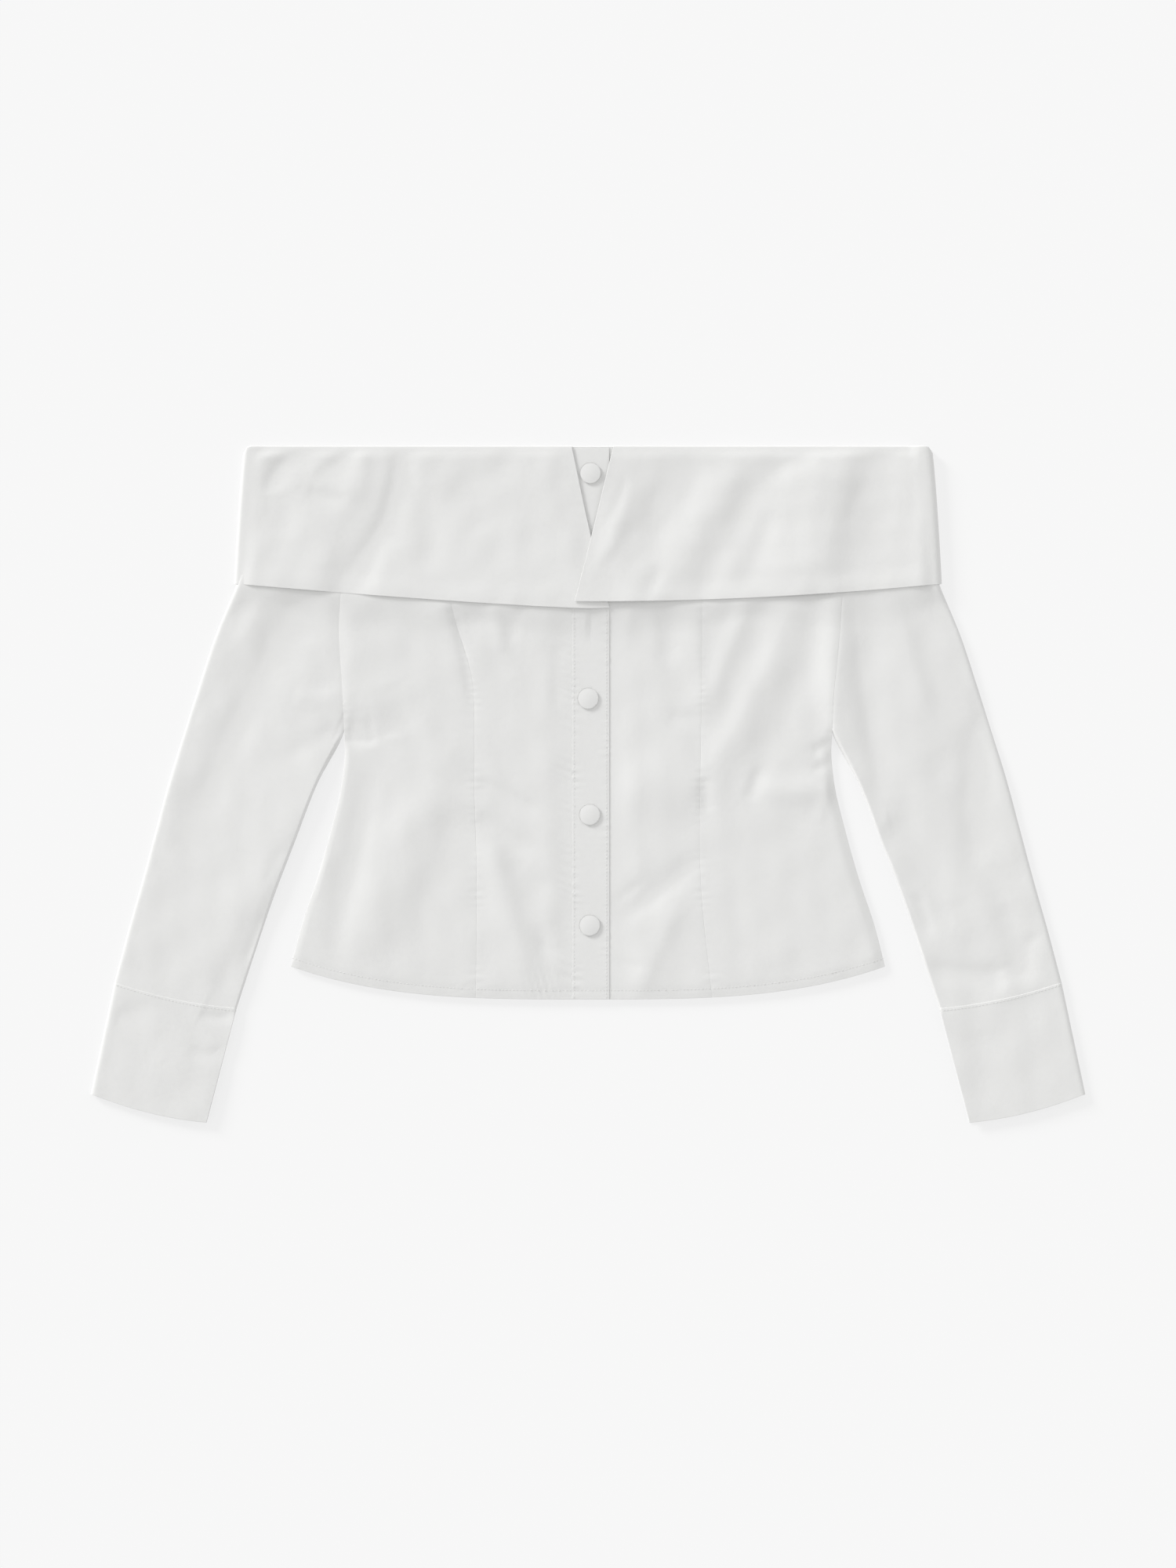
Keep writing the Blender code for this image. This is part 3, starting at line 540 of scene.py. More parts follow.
def collarRightTop(x, y):
    # The right half climbs over the left half where the two cross.
    far, near = collarHalf["overLeft"]
    overLeft = smoothStep(collarFront(y, "left") - x, -far, -near)
    raised = collarHalf["level"] + collarRelief(x, y, "left")
    return bodiceTop(x, y) + collarHalf["level"] + collarRelief(x, y, "right") + raised * overLeft


def gridNormals(points, sign):
    normal = np.cross(np.gradient(points, axis=1), np.gradient(points, axis=0))
    return sign * normal / np.linalg.norm(normal, axis=2, keepdims=True)


def facing(points, columns=None):
    # 1 where the grid's normals point up, otherwise -1.
    return 1.0 if gridNormals(points, 1.0)[:, :columns, 2].mean() > 0 else -1.0


def arcLengths(points, axis):
    step = np.linalg.norm(np.diff(points, axis=axis), axis=2)
    zero = np.zeros_like(step[:, :1] if axis == 1 else step[:1, :])
    run = np.concatenate([zero, np.cumsum(step, axis=axis)], axis=axis)
    return run - run.mean()


def supported(points):
    # Adds a row just inside each edge, so that soft shading stops at the edge.
    for axis in (0, 1):
        for end in (1, -2):
            line = np.moveaxis(points, axis, 0)
            rim = line[0] if end == 1 else line[-1]
            inside = line[end]
            gap = np.linalg.norm(inside - rim, axis=-1, keepdims=True)
            extra = rim + (inside - rim) * np.minimum(0.5, cloth["support"] / np.maximum(gap, tiny))
            place = 1 if end == 1 else len(line) - 1
            line = np.concatenate([line[:place], extra[None], line[place:]])
            points = np.moveaxis(line, 0, axis)
    return points


def clothShell(name, points, thickness, material, sign=1.0):
    # A closed shell under a grid of points, its edge rounded by a middle loop.
    points = supported(points)
    rows, columns = points.shape[:2]
    normals = gridNormals(points, sign)
    inner = points - normals * thickness
    loop = [(0, j) for j in range(columns)] + [(i, columns - 1) for i in range(1, rows)]
    loop += [(rows - 1, j) for j in range(columns - 2, -1, -1)]
    loop += [(i, 0) for i in range(rows - 2, 0, -1)]
    middle = []
    for i, j in loop:
        inside = points[min(max(i, 1), rows - 2), min(max(j, 1), columns - 2)]
        away = points[i, j] - inside
        away = away / max(np.linalg.norm(away), tiny)
        middle.append((points[i, j] + inner[i, j]) / 2 + away * thickness * cloth["bulge"])
    count = rows * columns
    verts = np.concatenate([points.reshape(-1, 3), inner.reshape(-1, 3), np.array(middle)]) * mm
    index = np.arange(count).reshape(rows, columns)
    a, b = index[:-1, :-1].ravel(), index[:-1, 1:].ravel()
    c, d = index[1:, 1:].ravel(), index[1:, :-1].ravel()
    faces = np.concatenate([np.stack([a, b, c, d], axis=1), np.stack([a, d, c, b], axis=1) + count])
    ring = np.array([i * columns + j for i, j in loop])
    turn = np.arange(len(loop))
    after = np.roll(turn, -1)
    faces = np.concatenate([
        faces,
        np.stack([ring, turn + 2 * count, after + 2 * count, ring[after]], axis=1),
        np.stack([turn + 2 * count, ring + count, ring[after] + count, after + 2 * count], axis=1),
    ])
    mesh = bpy.data.meshes.new(name)
    mesh.from_pydata(verts.tolist(), [], faces.tolist())
    across = arcLengths(points, 1).ravel()
    along = arcLengths(points, 0).ravel()
    flat = np.stack([across, along], axis=1) * mm
    flat = np.concatenate([flat, flat, flat[ring]])
    layer = mesh.uv_layers.new(name="cloth")
    corner = np.zeros(len(mesh.loops), dtype=np.int64)
    mesh.loops.foreach_get("vertex_index", corner)
    layer.data.foreach_set("uv", flat[corner].astype(np.float32).ravel())
    finishMesh(mesh)
    mesh.materials.append(material)
    return placeObject(name, mesh)


def placeObject(name, data):
    thing = bpy.data.objects.new(name, data)
    bpy.context.collection.objects.link(thing)
    return thing


def finishMesh(mesh):
    bm = bmesh.new()
    bm.from_mesh(mesh)
    bmesh.ops.recalc_face_normals(bm, faces=bm.faces)
    if bm.calc_volume(signed=True) < 0:
        bmesh.ops.reverse_faces(bm, faces=bm.faces)
    bm.to_mesh(mesh)
    bm.free()
    mesh.shade_smooth()


def declareCloth(piece, node):
    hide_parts(node)
    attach(piece, "root")


class Signal:
    # A shader socket that Python sums and products can be written with.
    def __init__(self, tree, socket):
        self.tree = tree
        self.socket = socket

    def node(self, kind, settings=None, **values):
        made = self.tree.nodes.new(kind)
        for key, value in (settings or {}).items():
            setattr(made, key, value)
        for key, value in values.items():
            numbered = key[0] == "i" and key[1:].isdigit()
            socket = made.inputs[int(key[1:]) if numbered else key]
            if isinstance(value, Signal):
                self.tree.links.new(value.socket, socket)
            else:
                socket.default_value = value
        return made

    def maths(self, operation, first, second=None):
        values = {"i0": first}
        if second is not None:
            values["i1"] = second
        made = self.node("ShaderNodeMath", {"operation": operation}, **values)
        return Signal(self.tree, made.outputs[0])

    def __add__(self, other):
        return self.maths("ADD", self, other)

    def __radd__(self, other):
        return self.maths("ADD", other, self)

    def __mul__(self, other):
        return self.maths("MULTIPLY", self, other)

    def __rmul__(self, other):
        return self.maths("MULTIPLY", other, self)

    def sine(self):
        return self.maths("SINE", self)

    def clamp(self):
        made = self.node("ShaderNodeClamp", None, Value=self)
        return Signal(self.tree, made.outputs[0])


# Thread and depths are in metres. The last two rows share out the weave and the colour.
poplin = {
    "light": (0.86, 0.86, 0.85, 1.0), "shade": (0.82, 0.82, 0.808, 1.0), "roughness": 0.85,
    "roughSpread": 0.12, "sheen": 0.12, "sheenRoughness": 0.4, "gloss": 0.3,
    "thread": 0.00034, "weaveDepth": 0.000025, "crinkleDepth": 0.00012, "crinkle": 190.0,
    "slub": 900.0, "patch": 14.0,
    "crossShare": 0.5, "threadShare": 0.18, "slubShare": 0.8,
    "patchShare": 0.7, "fineShare": 0.3, "weaveShare": 0.05,
}


def setInputs(node, values):
    for name, value in values.items():
        node.inputs[name].default_value = value


def makePoplin(name, look, useUv=True):
    # Plain weave in two thread directions, faint crinkles and slightly uneven white.
    material = bpy.data.materials.new(name)
    material.use_nodes = True
    tree = material.node_tree
    shader = tree.nodes["Principled BSDF"]
    start = Signal(tree, None)
    coordinates = start.node("ShaderNodeTexCoord")
    place = Signal(tree, coordinates.outputs["UV" if useUv else "Object"])
    solid = Signal(tree, coordinates.outputs["Object"])
    split = start.node("ShaderNodeSeparateXYZ", None, Vector=place)
    turns = 2 * math.pi / look["thread"]
    warp = (Signal(tree, split.outputs[0]) * turns).sine()
    weft = (Signal(tree, split.outputs[1]) * turns).sine()
    slub = start.node("ShaderNodeTexNoise", None, Vector=solid, Scale=look["slub"], Detail=2.0)
    weave = warp * weft * look["crossShare"] + (warp + weft) * look["threadShare"]
    weave = weave + Signal(tree, slub.outputs[0]) * look["slubShare"]
    crinkle = start.node(
        "ShaderNodeTexNoise", None, Vector=solid, Scale=look["crinkle"], Detail=3.0, Roughness=0.5,
    )
    broad = start.node("ShaderNodeTexNoise", None, Vector=solid, Scale=look["patch"], Detail=3.0)
    patch = Signal(tree, broad.outputs[0])
    fine = Signal(tree, crinkle.outputs[0])
    amount = patch * look["patchShare"] + fine * look["fineShare"] + weave * look["weaveShare"]
    amount = amount.clamp()
    colour = start.node("ShaderNodeMix", {"data_type": "RGBA"}, Factor=amount)
    colour.inputs[6].default_value = look["shade"]
    colour.inputs[7].default_value = look["light"]
    tree.links.new(colour.outputs[2], shader.inputs["Base Color"])
    rough = look["roughness"] - look["roughSpread"] / 2 + fine * look["roughSpread"]
    tree.links.new(rough.socket, shader.inputs["Roughness"])
    first = start.node(
        "ShaderNodeBump", None, Height=fine, Distance=look["crinkleDepth"], Strength=1.0,
    )
    second = start.node(
        "ShaderNodeBump", None, Height=weave, Distance=look["weaveDepth"], Strength=1.0,
        Normal=Signal(tree, first.outputs[0]),
    )
    tree.links.new(second.outputs[0], shader.inputs["Normal"])
    setInputs(shader, {
        "Sheen Weight": look["sheen"], "Sheen Roughness": look["sheenRoughness"],
        "Specular IOR Level": look["gloss"],
    })
    return material


clothMaterial = makePoplin("poplinCloth", poplin)
tightLook = dict(poplin, crinkleDepth=0.00003)
buttonMaterial = makePoplin("coveredButtonCloth", tightLook, useUv=False)
threadLook = dict(
    poplin, light=(0.84, 0.84, 0.825, 1.0), shade=(0.76, 0.76, 0.745, 1.0), thread=0.0002,
)
threadMaterial = makePoplin("sewingThread", threadLook, useUv=False)
print("materials made")


def panelPlan(leftLine, rightLine, lowRows, topRows):
    # Rows bend with the hem and the collar, columns run between two lines.
    span = abs(float(rightLine(np.array(0.0)) - leftLine(np.array(0.0))))
    across = np.linspace(0.0, 1.0, int(span / cloth["grid"]) + 2)[None, :]
    low = np.linspace(0.0, 1.0, lowRows + 1)
    step = np.linspace(0.0, 1.0, neck["liftRows"] + 2)[1:-1]
    top = np.linspace(0.0, 1.0, topRows + 1)
    x = np.zeros((len(low) + len(step) + len(top), across.shape[1]))
    for _ in range(cloth["rounds"]):
        edge = backEdgeLine(x)
        hem = hemLine(x)
        y = np.zeros(x.shape)
        a = len(low)
        b = a + len(step)
        y[:a] = hem[:a] + low[:, None] * (edge[:a] - neck["liftStart"] - hem[:a])
        rise = neck["liftStart"] - neck["liftEnd"]
        y[a:b] = edge[a:b] - neck["liftStart"] + step[:, None] * rise
        topLine = neck["top"] - cloth["roll"] - cloth["seam"]
        y[b:] = edge[b:] - neck["liftEnd"] + top[:, None] * (topLine - edge[b:] + neck["liftEnd"])
        x = leftLine(y) + across * (rightLine(y) - leftLine(y))
    return x, y


def makePanel(node, leftLine, rightLine, top):
    rows = ("backRows", "backTopRows") if node == "back" else ("rows", "topRows")
    x, y = panelPlan(leftLine, rightLine, body[rows[0]], body[rows[1]])
    points = np.stack([x, y, top(x, y)], axis=-1)
    thickness = placket["shell"] if node == "placket" else cloth["shell"]
    piece = clothShell(node + "Cloth", points, thickness, clothMaterial, facing(points))
    declareCloth(piece, node)


halfGap = cloth["seamGap"] / 2


def besideSeam(line, side, shift):
    return lambda y: line(y, side) + shift


def straight(x):
    return lambda y: x + 0 * y


seams = {
    "left": besideSeam(bodySide, -1, halfGap), "right": besideSeam(bodySide, 1, -halfGap),
    "leftOut": besideSeam(princessLine, -1, -halfGap),
    "leftIn": besideSeam(princessLine, -1, halfGap),
    "rightIn": besideSeam(princessLine, 1, -halfGap),
    "rightOut": besideSeam(princessLine, 1, halfGap),
    "placketOut": straight(placket["left"] - halfGap),
    "placketIn": straight(placket["left"] + halfGap),
    "stand": straight(placket["left"] + placket["standGap"]),
    "placketRight": straight(placket["right"]),
}
makePanel("back", seams["left"], seams["right"], backTop)
makePanel("front_side_left", seams["left"], seams["leftOut"], frontTop)
makePanel("front_centre_left", seams["leftIn"], seams["placketOut"], frontLeftTop)
makePanel("front_centre_right", seams["stand"], seams["rightIn"], frontTop)
makePanel("front_side_right", seams["rightOut"], seams["right"], frontTop)
makePanel("placket", seams["placketIn"], seams["placketRight"], placketTop)
print("body panels made")


sleeve = {
    "sections": [
        # inner x (none on the armhole), inner y, outer x, outer y, bow, steps to the next
        (None, 274.55, 277.4, 274.55, 0.0, 6), (None, 215.0, 283.3, 217.0, 0.0, 6),
        (None, 153.4, 286.7, 162.3, 0.0, 4), (None, 147.4, 289.2, 156.4, 0.0, 14),
        (None, 118.0, 303.4, 122.5, 0.0, 16), (None, 80.0, 316.6, 83.0, 0.0, 16),
        (199.15, 44.0, 328.6, 45.0, 0.0, 18), (221.2, 0.0, 341.0, 5.5, 1.0, 18),
        (239.0, -46.0, 351.8, -34.5, 1.5, 18), (256.4, -91.5, 362.9, -76.0, 2.0, 18),
        (272.0, -137.5, 375.2, -119.5, 2.5, 18), (287.0, -183.2, 386.6, -162.6, 3.0, 0),
    ],
    "upper": 56, "fold": 10, "lower": 14, "turn": 4.0, "under": 0.15,
    "crowding": 1.45, "foldBlend": 0.94,
}
cuff = {
    "sections": [
        (286.85, -182.75, 386.45, -162.15, 3.0, 44), (311.3, -275.8, 405.8, -252.9, 3.4, 0),
    ],
    "thickness": 0.6, "rise": 0.3, "under": 0.0,
}


def sleeveInner(y):
    rows = [row for row in sleeve["sections"] if row[0] is not None]
    return curveThrough([row[1] for row in reversed(rows)], [row[0] for row in reversed(rows)], y)


def tubeSections(table, side):
    ends = []
    for innerX, innerY, outerX, outerY, bow, steps in table:
        if innerX is None:
            innerX = abs(float(bodySide(innerY, side))) + halfGap
        ends.append((innerX, innerY, outerX, outerY, bow))
    ends = np.array(ends)
    run = np.hypot(np.diff(ends[:, 2]), np.diff(ends[:, 3]))
    keys = np.concatenate([[0.0], np.cumsum(run)])
    places = [keys[0]]
    for index, row in enumerate(table[:-1]):
        places += list(np.linspace(keys[index], keys[index + 1], row[-1] + 1)[1:])
    columns = [curveThrough(keys, column, np.array(places)) for column in ends.T]
    sections = np.stack(columns, axis=1)
    onArmhole = sections[:, 1] >= body["underarm"] - 0.01
    armhole = np.abs(bodySide(sections[:, 1], side)) + halfGap
    sections[:, 0] = np.where(onArmhole, armhole, sections[:, 0])
    return sections


def tubePoints(table, side, top, under):
    # The upper cloth, a round fold at the outer edge, then the lower cloth.
    sections = tubeSections(table, side)
    start = sections[:, 0:2] * (side, 1)
    stop = sections[:, 2:4] * (side, 1)
    stop[:, 1] = np.minimum(stop[:, 1], seamLine(stop[:, 0]))
    across = (stop - start) / np.linalg.norm(stop - start, axis=1)[:, None]
    low = collarLift(stop[:, 0], stop[:, 1]) + under
    radius = (top(stop[:, 0], stop[:, 1]) - low) / 2
    turn = stop - across * sleeve["turn"]

    def plan(parts):
        parts = np.array(parts)[None, :]
        x = start[:, 0:1] + parts * (turn[:, 0:1] - start[:, 0:1])
        y = start[:, 1:2] + parts * (turn[:, 1:2] - start[:, 1:2])
        y = y - 4 * sections[:, 4:5] * parts * (1 - parts)
        return x, np.minimum(y, seamLine(x))

    parts = np.linspace(0.0, 1.0, sleeve["upper"]) ** sleeve["crowding"]
    x, y = plan(parts)
    z = top(x, y)
    blend = smoothStep(parts, sleeve["foldBlend"], 1.0)[None, :]
    z = z + (low[:, None] + 2 * radius[:, None] - z) * blend
    grid = [np.stack([x, y, z], axis=-1)]
    for angle in np.linspace(0.0, math.pi, sleeve["fold"] + 1)[1:-1]:
        place = turn + across * sleeve["turn"] * math.sin(angle)
        up = low + radius + radius * math.cos(angle)
        grid.append(np.stack([place[:, 0:1], place[:, 1:2], up[:, None]], axis=-1))
    x, y = plan(np.linspace(1.0, 0.0, sleeve["lower"]))
    grid.append(np.stack([x, y, collarLift(x, y) + under], axis=-1))
    return np.concatenate(grid, axis=1)


def cuffTop(x, y):
    return sleeveTop(x, y) + cuff["rise"]


for word, side in (("left", -1), ("right", 1)):
    for node, spec, top, thickness in (
        ("sleeve_", sleeve, sleeveTop, cloth["shell"]), ("cuff_", cuff, cuffTop, cuff["thickness"]),
    ):
        points = tubePoints(spec["sections"], side, top, spec["under"])
        sign = facing(points, sleeve["upper"])
        piece = clothShell(node + word + "Cloth", points, thickness, clothMaterial, sign)
        declareCloth(piece, node + word)
print("sleeves and cuffs made")


def rolledOver(points, sign):
    # Adds the roll at the neckline to the last row of a grid.
    normals = gridNormals(points, sign)
    last = points[-1]
    out = normals[-1].copy()
    out[:, 1] = 0
    out = out / np.linalg.norm(out, axis=1, keepdims=True)
    rows = [points]
    for angle in np.linspace(0.0, math.pi, collarHalf["rollRows"] + 1)[1:]:
        ahead = np.array([0.0, math.sin(angle), 0.0]) * cloth["roll"]
        rows.append((last - out * cloth["roll"] * (1 - math.cos(angle)) + ahead)[None])
    return np.concatenate(rows)


def makeCollarHalf(node, halfName, side, top):
    foldTop = 2 * cloth["level"] + cloth["wall"] + collarHalf["level"]
    foldTop = foldTop + collarHalf["sidePuff"][halfName]
    radius = foldTop / 2
    turn = collarHalf["turn"][halfName]
    down = np.linspace(0.0, 1.0, collarHalf["rows"])[:, None]
    across = np.linspace(0.0, 1.0, collarHalf["columns"])[None, :]
    x = np.full((down.shape[0], across.shape[1]), side * collarHalf["guess"][0])
    for _ in range(cloth["rounds"]):
        low = collarEdge(x, halfName)
        y = low + down * (neckLine(x) - cloth["roll"] - low)
        start = collarFront(y, halfName)
        x = start + across * (side * (collarSide(y) - turn) - start)
    z = top(x, y)
    foldLine = collarSide(y) - turn
    z = z + (foldTop - z) * smoothStep(np.abs(x), foldLine - collarHalf["foldFade"], foldLine)
    grid = [np.stack([x, y, z], axis=-1)]
    insets = [
        (turn * (1 - math.sin(angle)), radius * (1 + math.cos(angle)))
        for angle in np.linspace(0.0, math.pi, collarHalf["foldRows"])[1:-1]
    ]
    strip = np.linspace(turn, collarHalf["strip"], collarHalf["stripRows"])
    insets += [(inset, 0.0) for inset in strip]
    for inset, up in insets:
        lineY = np.full(down.shape, collarHalf["guess"][1])
        for _ in range(cloth["rounds"]):
            lineX = side * (collarSide(lineY) - inset)
            low = backEdgeLine(lineX)
            lineY = low + down * (neckLine(lineX) - cloth["roll"] - low)
        grid.append(np.stack([lineX, lineY, np.full(lineY.shape, up)], axis=-1))
    points = np.concatenate(grid, axis=1)
    sign = facing(points, across.shape[1])
    points = rolledOver(points, sign)
    piece = clothShell(node + "Cloth", points, collarHalf["thickness"], clothMaterial, sign)
    declareCloth(piece, node)


makeCollarHalf("collar_left", "left", -1, collarLeftTop)
makeCollarHalf("collar_right", "right", 1, collarRightTop)

down = np.linspace(0.0, 1.0, collarHalf["backRows"])[:, None]
across = np.linspace(-1.0, 1.0, collarHalf["backColumns"])[None, :]
x = np.zeros((down.shape[0], across.shape[1]))
for _ in range(cloth["rounds"]):
    low = backEdgeLine(x)
    y = low + down * (neckLine(x) - cloth["roll"] - low)
    x = across * (collarSide(y) - collarHalf["strip"] - cloth["seam"])
points = np.stack([x, y, np.zeros(x.shape)], axis=-1)
sign = -facing(points)
points = rolledOver(points, sign)
collarBack = clothShell("collarBackCloth", points, cloth["shell"], clothMaterial, sign)
declareCloth(collarBack, "collar_back")
print("collar made")


# The underside's rows give a share of the radius and a rise in millimetres.
button = {
    "radius": 8.5, "rim": 0.85, "shoulder": 0.3, "dome": 0.55, "settle": 0.152, "sink": 0.1,
    "sides": 72, "gathers": 22, "gatherDepth": 0.05, "gatherFrom": 0.6,
    "underside": [
        (0.0, 0.05), (0.4, 0.02), (0.72, 0.0), (0.84, 0.12), (0.94, 0.45), (0.99, 0.9), (1.0, 1.25),
    ],
    "bend": 0.07, "bendTurn": 1.3, "bendRows": 6, "crownFrom": 0.88, "crownRows": 8,
}


def makeButton(node):
    low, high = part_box(node)
    cx = (low[0] + high[0]) / 2
    cy = (low[1] + high[1]) / 2
    seat = placketTop(np.array([cx / mm]), np.array([cy / mm]))
    base = (float(seat[0]) - button["sink"]) * mm
    profile = [(reach * button["radius"], rise) for reach, rise in button["underside"]]
    for angle in np.linspace(0.0, button["bendTurn"], button["bendRows"]):
        reach = button["radius"] * (1 - button["bend"] + button["bend"] * math.cos(angle))
        profile.append((reach, button["rim"] + button["shoulder"] * math.sin(angle)))
    for share in np.linspace(button["crownFrom"], 0.0, button["crownRows"]):
        rise = button["rim"] + button["shoulder"]
        rise += button["dome"] * (1 - share**2 - button["settle"])
        profile.append((share * button["radius"], rise))
    bm = bmesh.new()
    rings = []
    for reach, rise in profile[1:-1]:
        ring = []
        for turn in range(button["sides"]):
            angle = 2 * math.pi * turn / button["sides"]
            edge = float(smoothStep(reach / button["radius"], button["gatherFrom"], 1.0))
            wave = button["gatherDepth"] * edge * math.sin(button["gathers"] * angle)
            radius = (reach + wave) * mm
            x = cx + radius * math.cos(angle)
            y = cy + radius * math.sin(angle)
            ring.append(bm.verts.new((x, y, base + rise * mm)))
        rings.append(ring)
    bottom = bm.verts.new((cx, cy, base + profile[0][1] * mm))
    crown = bm.verts.new((cx, cy, base + profile[-1][1] * mm))
    for turn in range(button["sides"]):
        after = (turn + 1) % button["sides"]
        bm.faces.new((bottom, rings[0][after], rings[0][turn]))
        bm.faces.new((crown, rings[-1][turn], rings[-1][after]))
        for lower, upper in zip(rings, rings[1:]):
            bm.faces.new((lower[turn], lower[after], upper[after], upper[turn]))
    mesh = bpy.data.meshes.new(node + "Dome")
    bm.to_mesh(mesh)
    bm.free()
    finishMesh(mesh)
    mesh.materials.append(buttonMaterial)
    piece = placeObject(node + "Dome", mesh)
    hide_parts(node)
    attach(piece, "root")


for node in sorted(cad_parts):
    if node.startswith("button_"):
        makeButton(node)
print("buttons made")


# The hem's rows give the first and last x of each run of stitches.
stitch = {
    "pitch": 2.9, "length": 2.2, "width": 0.5, "height": 0.36, "sink": 0.12, "sides": 6, "rings": 4,
    "hem": [
        (-241.0, -94.5, frontTop), (-90.0, -14.5, frontLeftTop), (-11.5, 15.8, placketTop),
        (18.6, 99.0, frontTop), (103.0, 241.0, frontTop),
    ],
    "hemSpacing": 3.0, "placketFrom": -173.5, "placketTo": 150.0, "placketPoints": 160,
    "cuffInset": 2.0, "cuffLength": 94.0, "cuffShort": 3.0, "cuffPoints": 50,
}


def stitchTree():
    # Geometry Nodes that lay short rounded stitches along a path.
    tree = bpy.data.node_groups.new("stitchRow", "GeometryNodeTree")
    face = tree.interface
    face.new_socket("Geometry", in_out="INPUT", socket_type="NodeSocketGeometry")
    for label in ("Pitch", "Length", "Width", "Height"):
        face.new_socket(label, in_out="INPUT", socket_type="NodeSocketFloat")
    face.new_socket("Thread", in_out="INPUT", socket_type="NodeSocketMaterial")
    face.new_socket("Geometry", in_out="OUTPUT", socket_type="NodeSocketGeometry")
    made = tree.nodes.new
    enter = made("NodeGroupInput")
    leave = made("NodeGroupOutput")
    toCurve = made("GeometryNodeMeshToCurve")
    resample = made("GeometryNodeResampleCurve")
    resample.mode = "LENGTH"
    tangent = made("GeometryNodeInputTangent")
    turn = made("FunctionNodeAlignEulerToVector")
    turn.axis = "X"
    ball = made("GeometryNodeMeshUVSphere")
    ball.inputs["Segments"].default_value = stitch["sides"]
    ball.inputs["Rings"].default_value = stitch["rings"]
    ball.inputs["Radius"].default_value = 0.5
    size = made("ShaderNodeCombineXYZ")
    shape = made("GeometryNodeTransform")
    spread = made("GeometryNodeInstanceOnPoints")
    real = made("GeometryNodeRealizeInstances")
    paint = made("GeometryNodeSetMaterial")
    smooth = made("GeometryNodeSetShadeSmooth")
    for start, output, stop, socket in (
        (enter, "Geometry", toCurve, "Mesh"), (toCurve, "Curve", resample, "Curve"),
        (enter, "Pitch", resample, "Length"), (tangent, "Tangent", turn, "Vector"),
        (enter, "Length", size, "X"), (enter, "Width", size, "Y"), (enter, "Height", size, "Z"),
        (ball, "Mesh", shape, "Geometry"), (size, "Vector", shape, "Scale"),
        (resample, "Curve", spread, "Points"), (shape, "Geometry", spread, "Instance"),
        (turn, "Rotation", spread, "Rotation"), (spread, "Instances", real, "Geometry"),
        (real, "Geometry", smooth, "Geometry"), (smooth, "Geometry", paint, "Geometry"),
        (enter, "Thread", paint, "Material"), (paint, "Geometry", leave, "Geometry"),
    ):
        tree.links.new(start.outputs[output], stop.inputs[socket])
    return tree


def pathMesh(name, paths):
    verts = []
    edges = []
    for path in paths:
        base = len(verts)
        verts += [tuple(point * mm) for point in path]
        edges += [(base + i, base + i + 1) for i in range(len(path) - 1)]
    mesh = bpy.data.meshes.new(name)
    mesh.from_pydata(verts, edges, [])
    return placeObject(name, mesh)


def runNodes(thing, tree, values):
    modifier = thing.modifiers.new("rows", "NODES")
    modifier.node_group = tree
    for item in tree.interface.items_tree:
        if item.in_out == "INPUT" and item.name in values:
            modifier[item.identifier] = values[item.name]
    bpy.context.view_layer.update()
    graph = bpy.context.evaluated_depsgraph_get()
    mesh = bpy.data.meshes.new_from_object(thing.evaluated_get(graph))
    mesh.name = thing.name
    name = thing.name + "Sewn"
    bpy.data.objects.remove(thing, do_unlink=True)
    return placeObject(name, mesh)


def onSurface(top, x, y):
    lift = stitch["height"] / 2 - stitch["sink"]
    return np.stack([x, y, top(x, y) + lift], axis=-1)


def stitchPaths():
    # Along the hem, both edges of the placket and the top of each cuff.
    paths = []
    for first, last, top in stitch["hem"]:
        x = np.linspace(first, last, int((last - first) / stitch["hemSpacing"]) + 2)
        paths.append(onSurface(top, x, hemLine(x) + sewing["hemLine"]))
    y = np.linspace(stitch["placketFrom"], stitch["placketTo"], stitch["placketPoints"])
    for x in (placket["left"] + sewing["placketLine"], placket["right"] - sewing["placketFree"]):
        paths.append(onSurface(placketTop, np.full(y.shape, x), y))
    upper, lower = np.array(cuff["sections"])[:, :4]
    share = stitch["cuffInset"] / stitch["cuffLength"]
    startX, startY, stopX, stopY = upper + (lower - upper) * share
    bow = cuff["sections"][0][4]
    part = np.linspace(0.0, 1.0, stitch["cuffPoints"])
    for side in (-1, 1):
        x = side * (startX + part * (stopX - startX - stitch["cuffShort"]))
        y = startY + part * (stopY - startY) - 4 * bow * part * (1 - part)
        paths.append(onSurface(cuffTop, x, y))
    return paths


values = {name: stitch[name.lower()] * mm for name in ("Pitch", "Length", "Width", "Height")}
values["Thread"] = threadMaterial
rows = runNodes(pathMesh("stitches", stitchPaths()), stitchTree(), values)
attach(rows, "root")
print("sewing made")


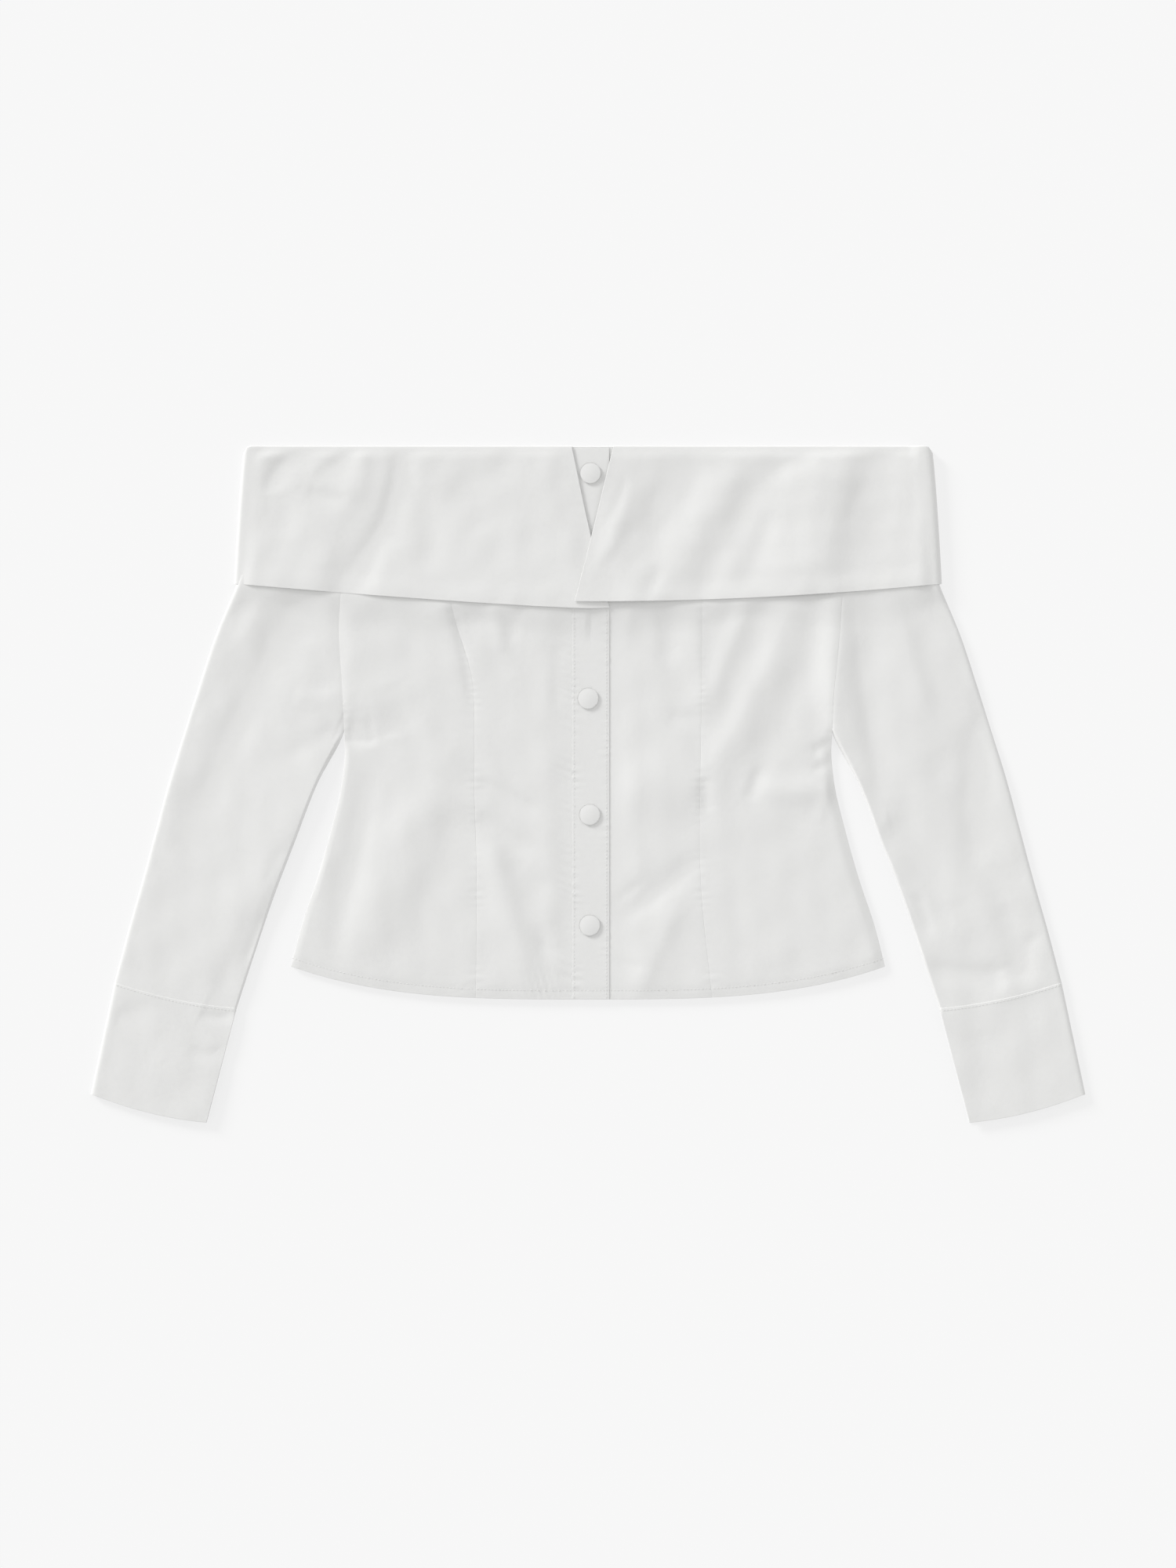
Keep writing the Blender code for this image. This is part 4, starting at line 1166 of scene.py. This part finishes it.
# A glowing pale floor, a wide low sun from the upper left and a soft sky, seen from straight above.
# Pixel is the size of one of the frame's pixels on the floor. Other places are in metres.
studio = {
    "floor": (0.30, 0.30, 0.30, 1.0), "floorGlow": 0.655, "floorSize": 6.0, "floorHeight": -0.0004,
    "key": 2.45, "keySpread": 14.0, "keyFrom": (-0.735, 0.625, 0.26), "fill": 0.72,
    "pixel": 0.64, "framePixels": 2000, "lens": 90.0, "sensor": 36.0, "cameraShift": 0.0003,
}
floorMesh = bpy.data.meshes.new("floor")
reach = studio["floorSize"] / 2
corners = [(-reach, -reach), (reach, -reach), (reach, reach), (-reach, reach)]
floorMesh.from_pydata([(x, y, studio["floorHeight"]) for x, y in corners], [], [(0, 1, 2, 3)])
floor = placeObject("floor", floorMesh)
floorMaterial = bpy.data.materials.new("paleFloor")
floorMaterial.use_nodes = True
white = (1.0, 1.0, 1.0, 1.0)
setInputs(floorMaterial.node_tree.nodes["Principled BSDF"], {
    "Base Color": studio["floor"], "Roughness": 1.0, "Specular IOR Level": 0.0,
    "Emission Color": white, "Emission Strength": studio["floorGlow"],
})
floorMesh.materials.append(floorMaterial)

keyData = bpy.data.lights.new("keyLight", "SUN")
keyData.energy = studio["key"]
keyData.angle = math.radians(studio["keySpread"])
key = placeObject("keyLight", keyData)
key.location = studio["keyFrom"]
away = key.location.copy()
away.negate()
key.rotation_euler = away.to_track_quat("-Z", "Y").to_euler()

world = bpy.data.worlds.new("softSky")
bpy.context.scene.world = world
world.use_nodes = True
setInputs(world.node_tree.nodes["Background"], {"Color": white, "Strength": studio["fill"]})

cameraData = bpy.data.cameras.new("camera")
cameraData.lens = studio["lens"]
cameraData.sensor_width = studio["sensor"]
frameHeight = studio["framePixels"] * studio["pixel"] * mm
camera = placeObject("camera", cameraData)
cameraHeight = frameHeight * studio["lens"] / studio["sensor"]
camera.location = (0.0, studio["cameraShift"], cameraHeight)
bpy.context.scene.camera = camera
bpy.context.scene.view_settings.view_transform = "Standard"
print("studio set")
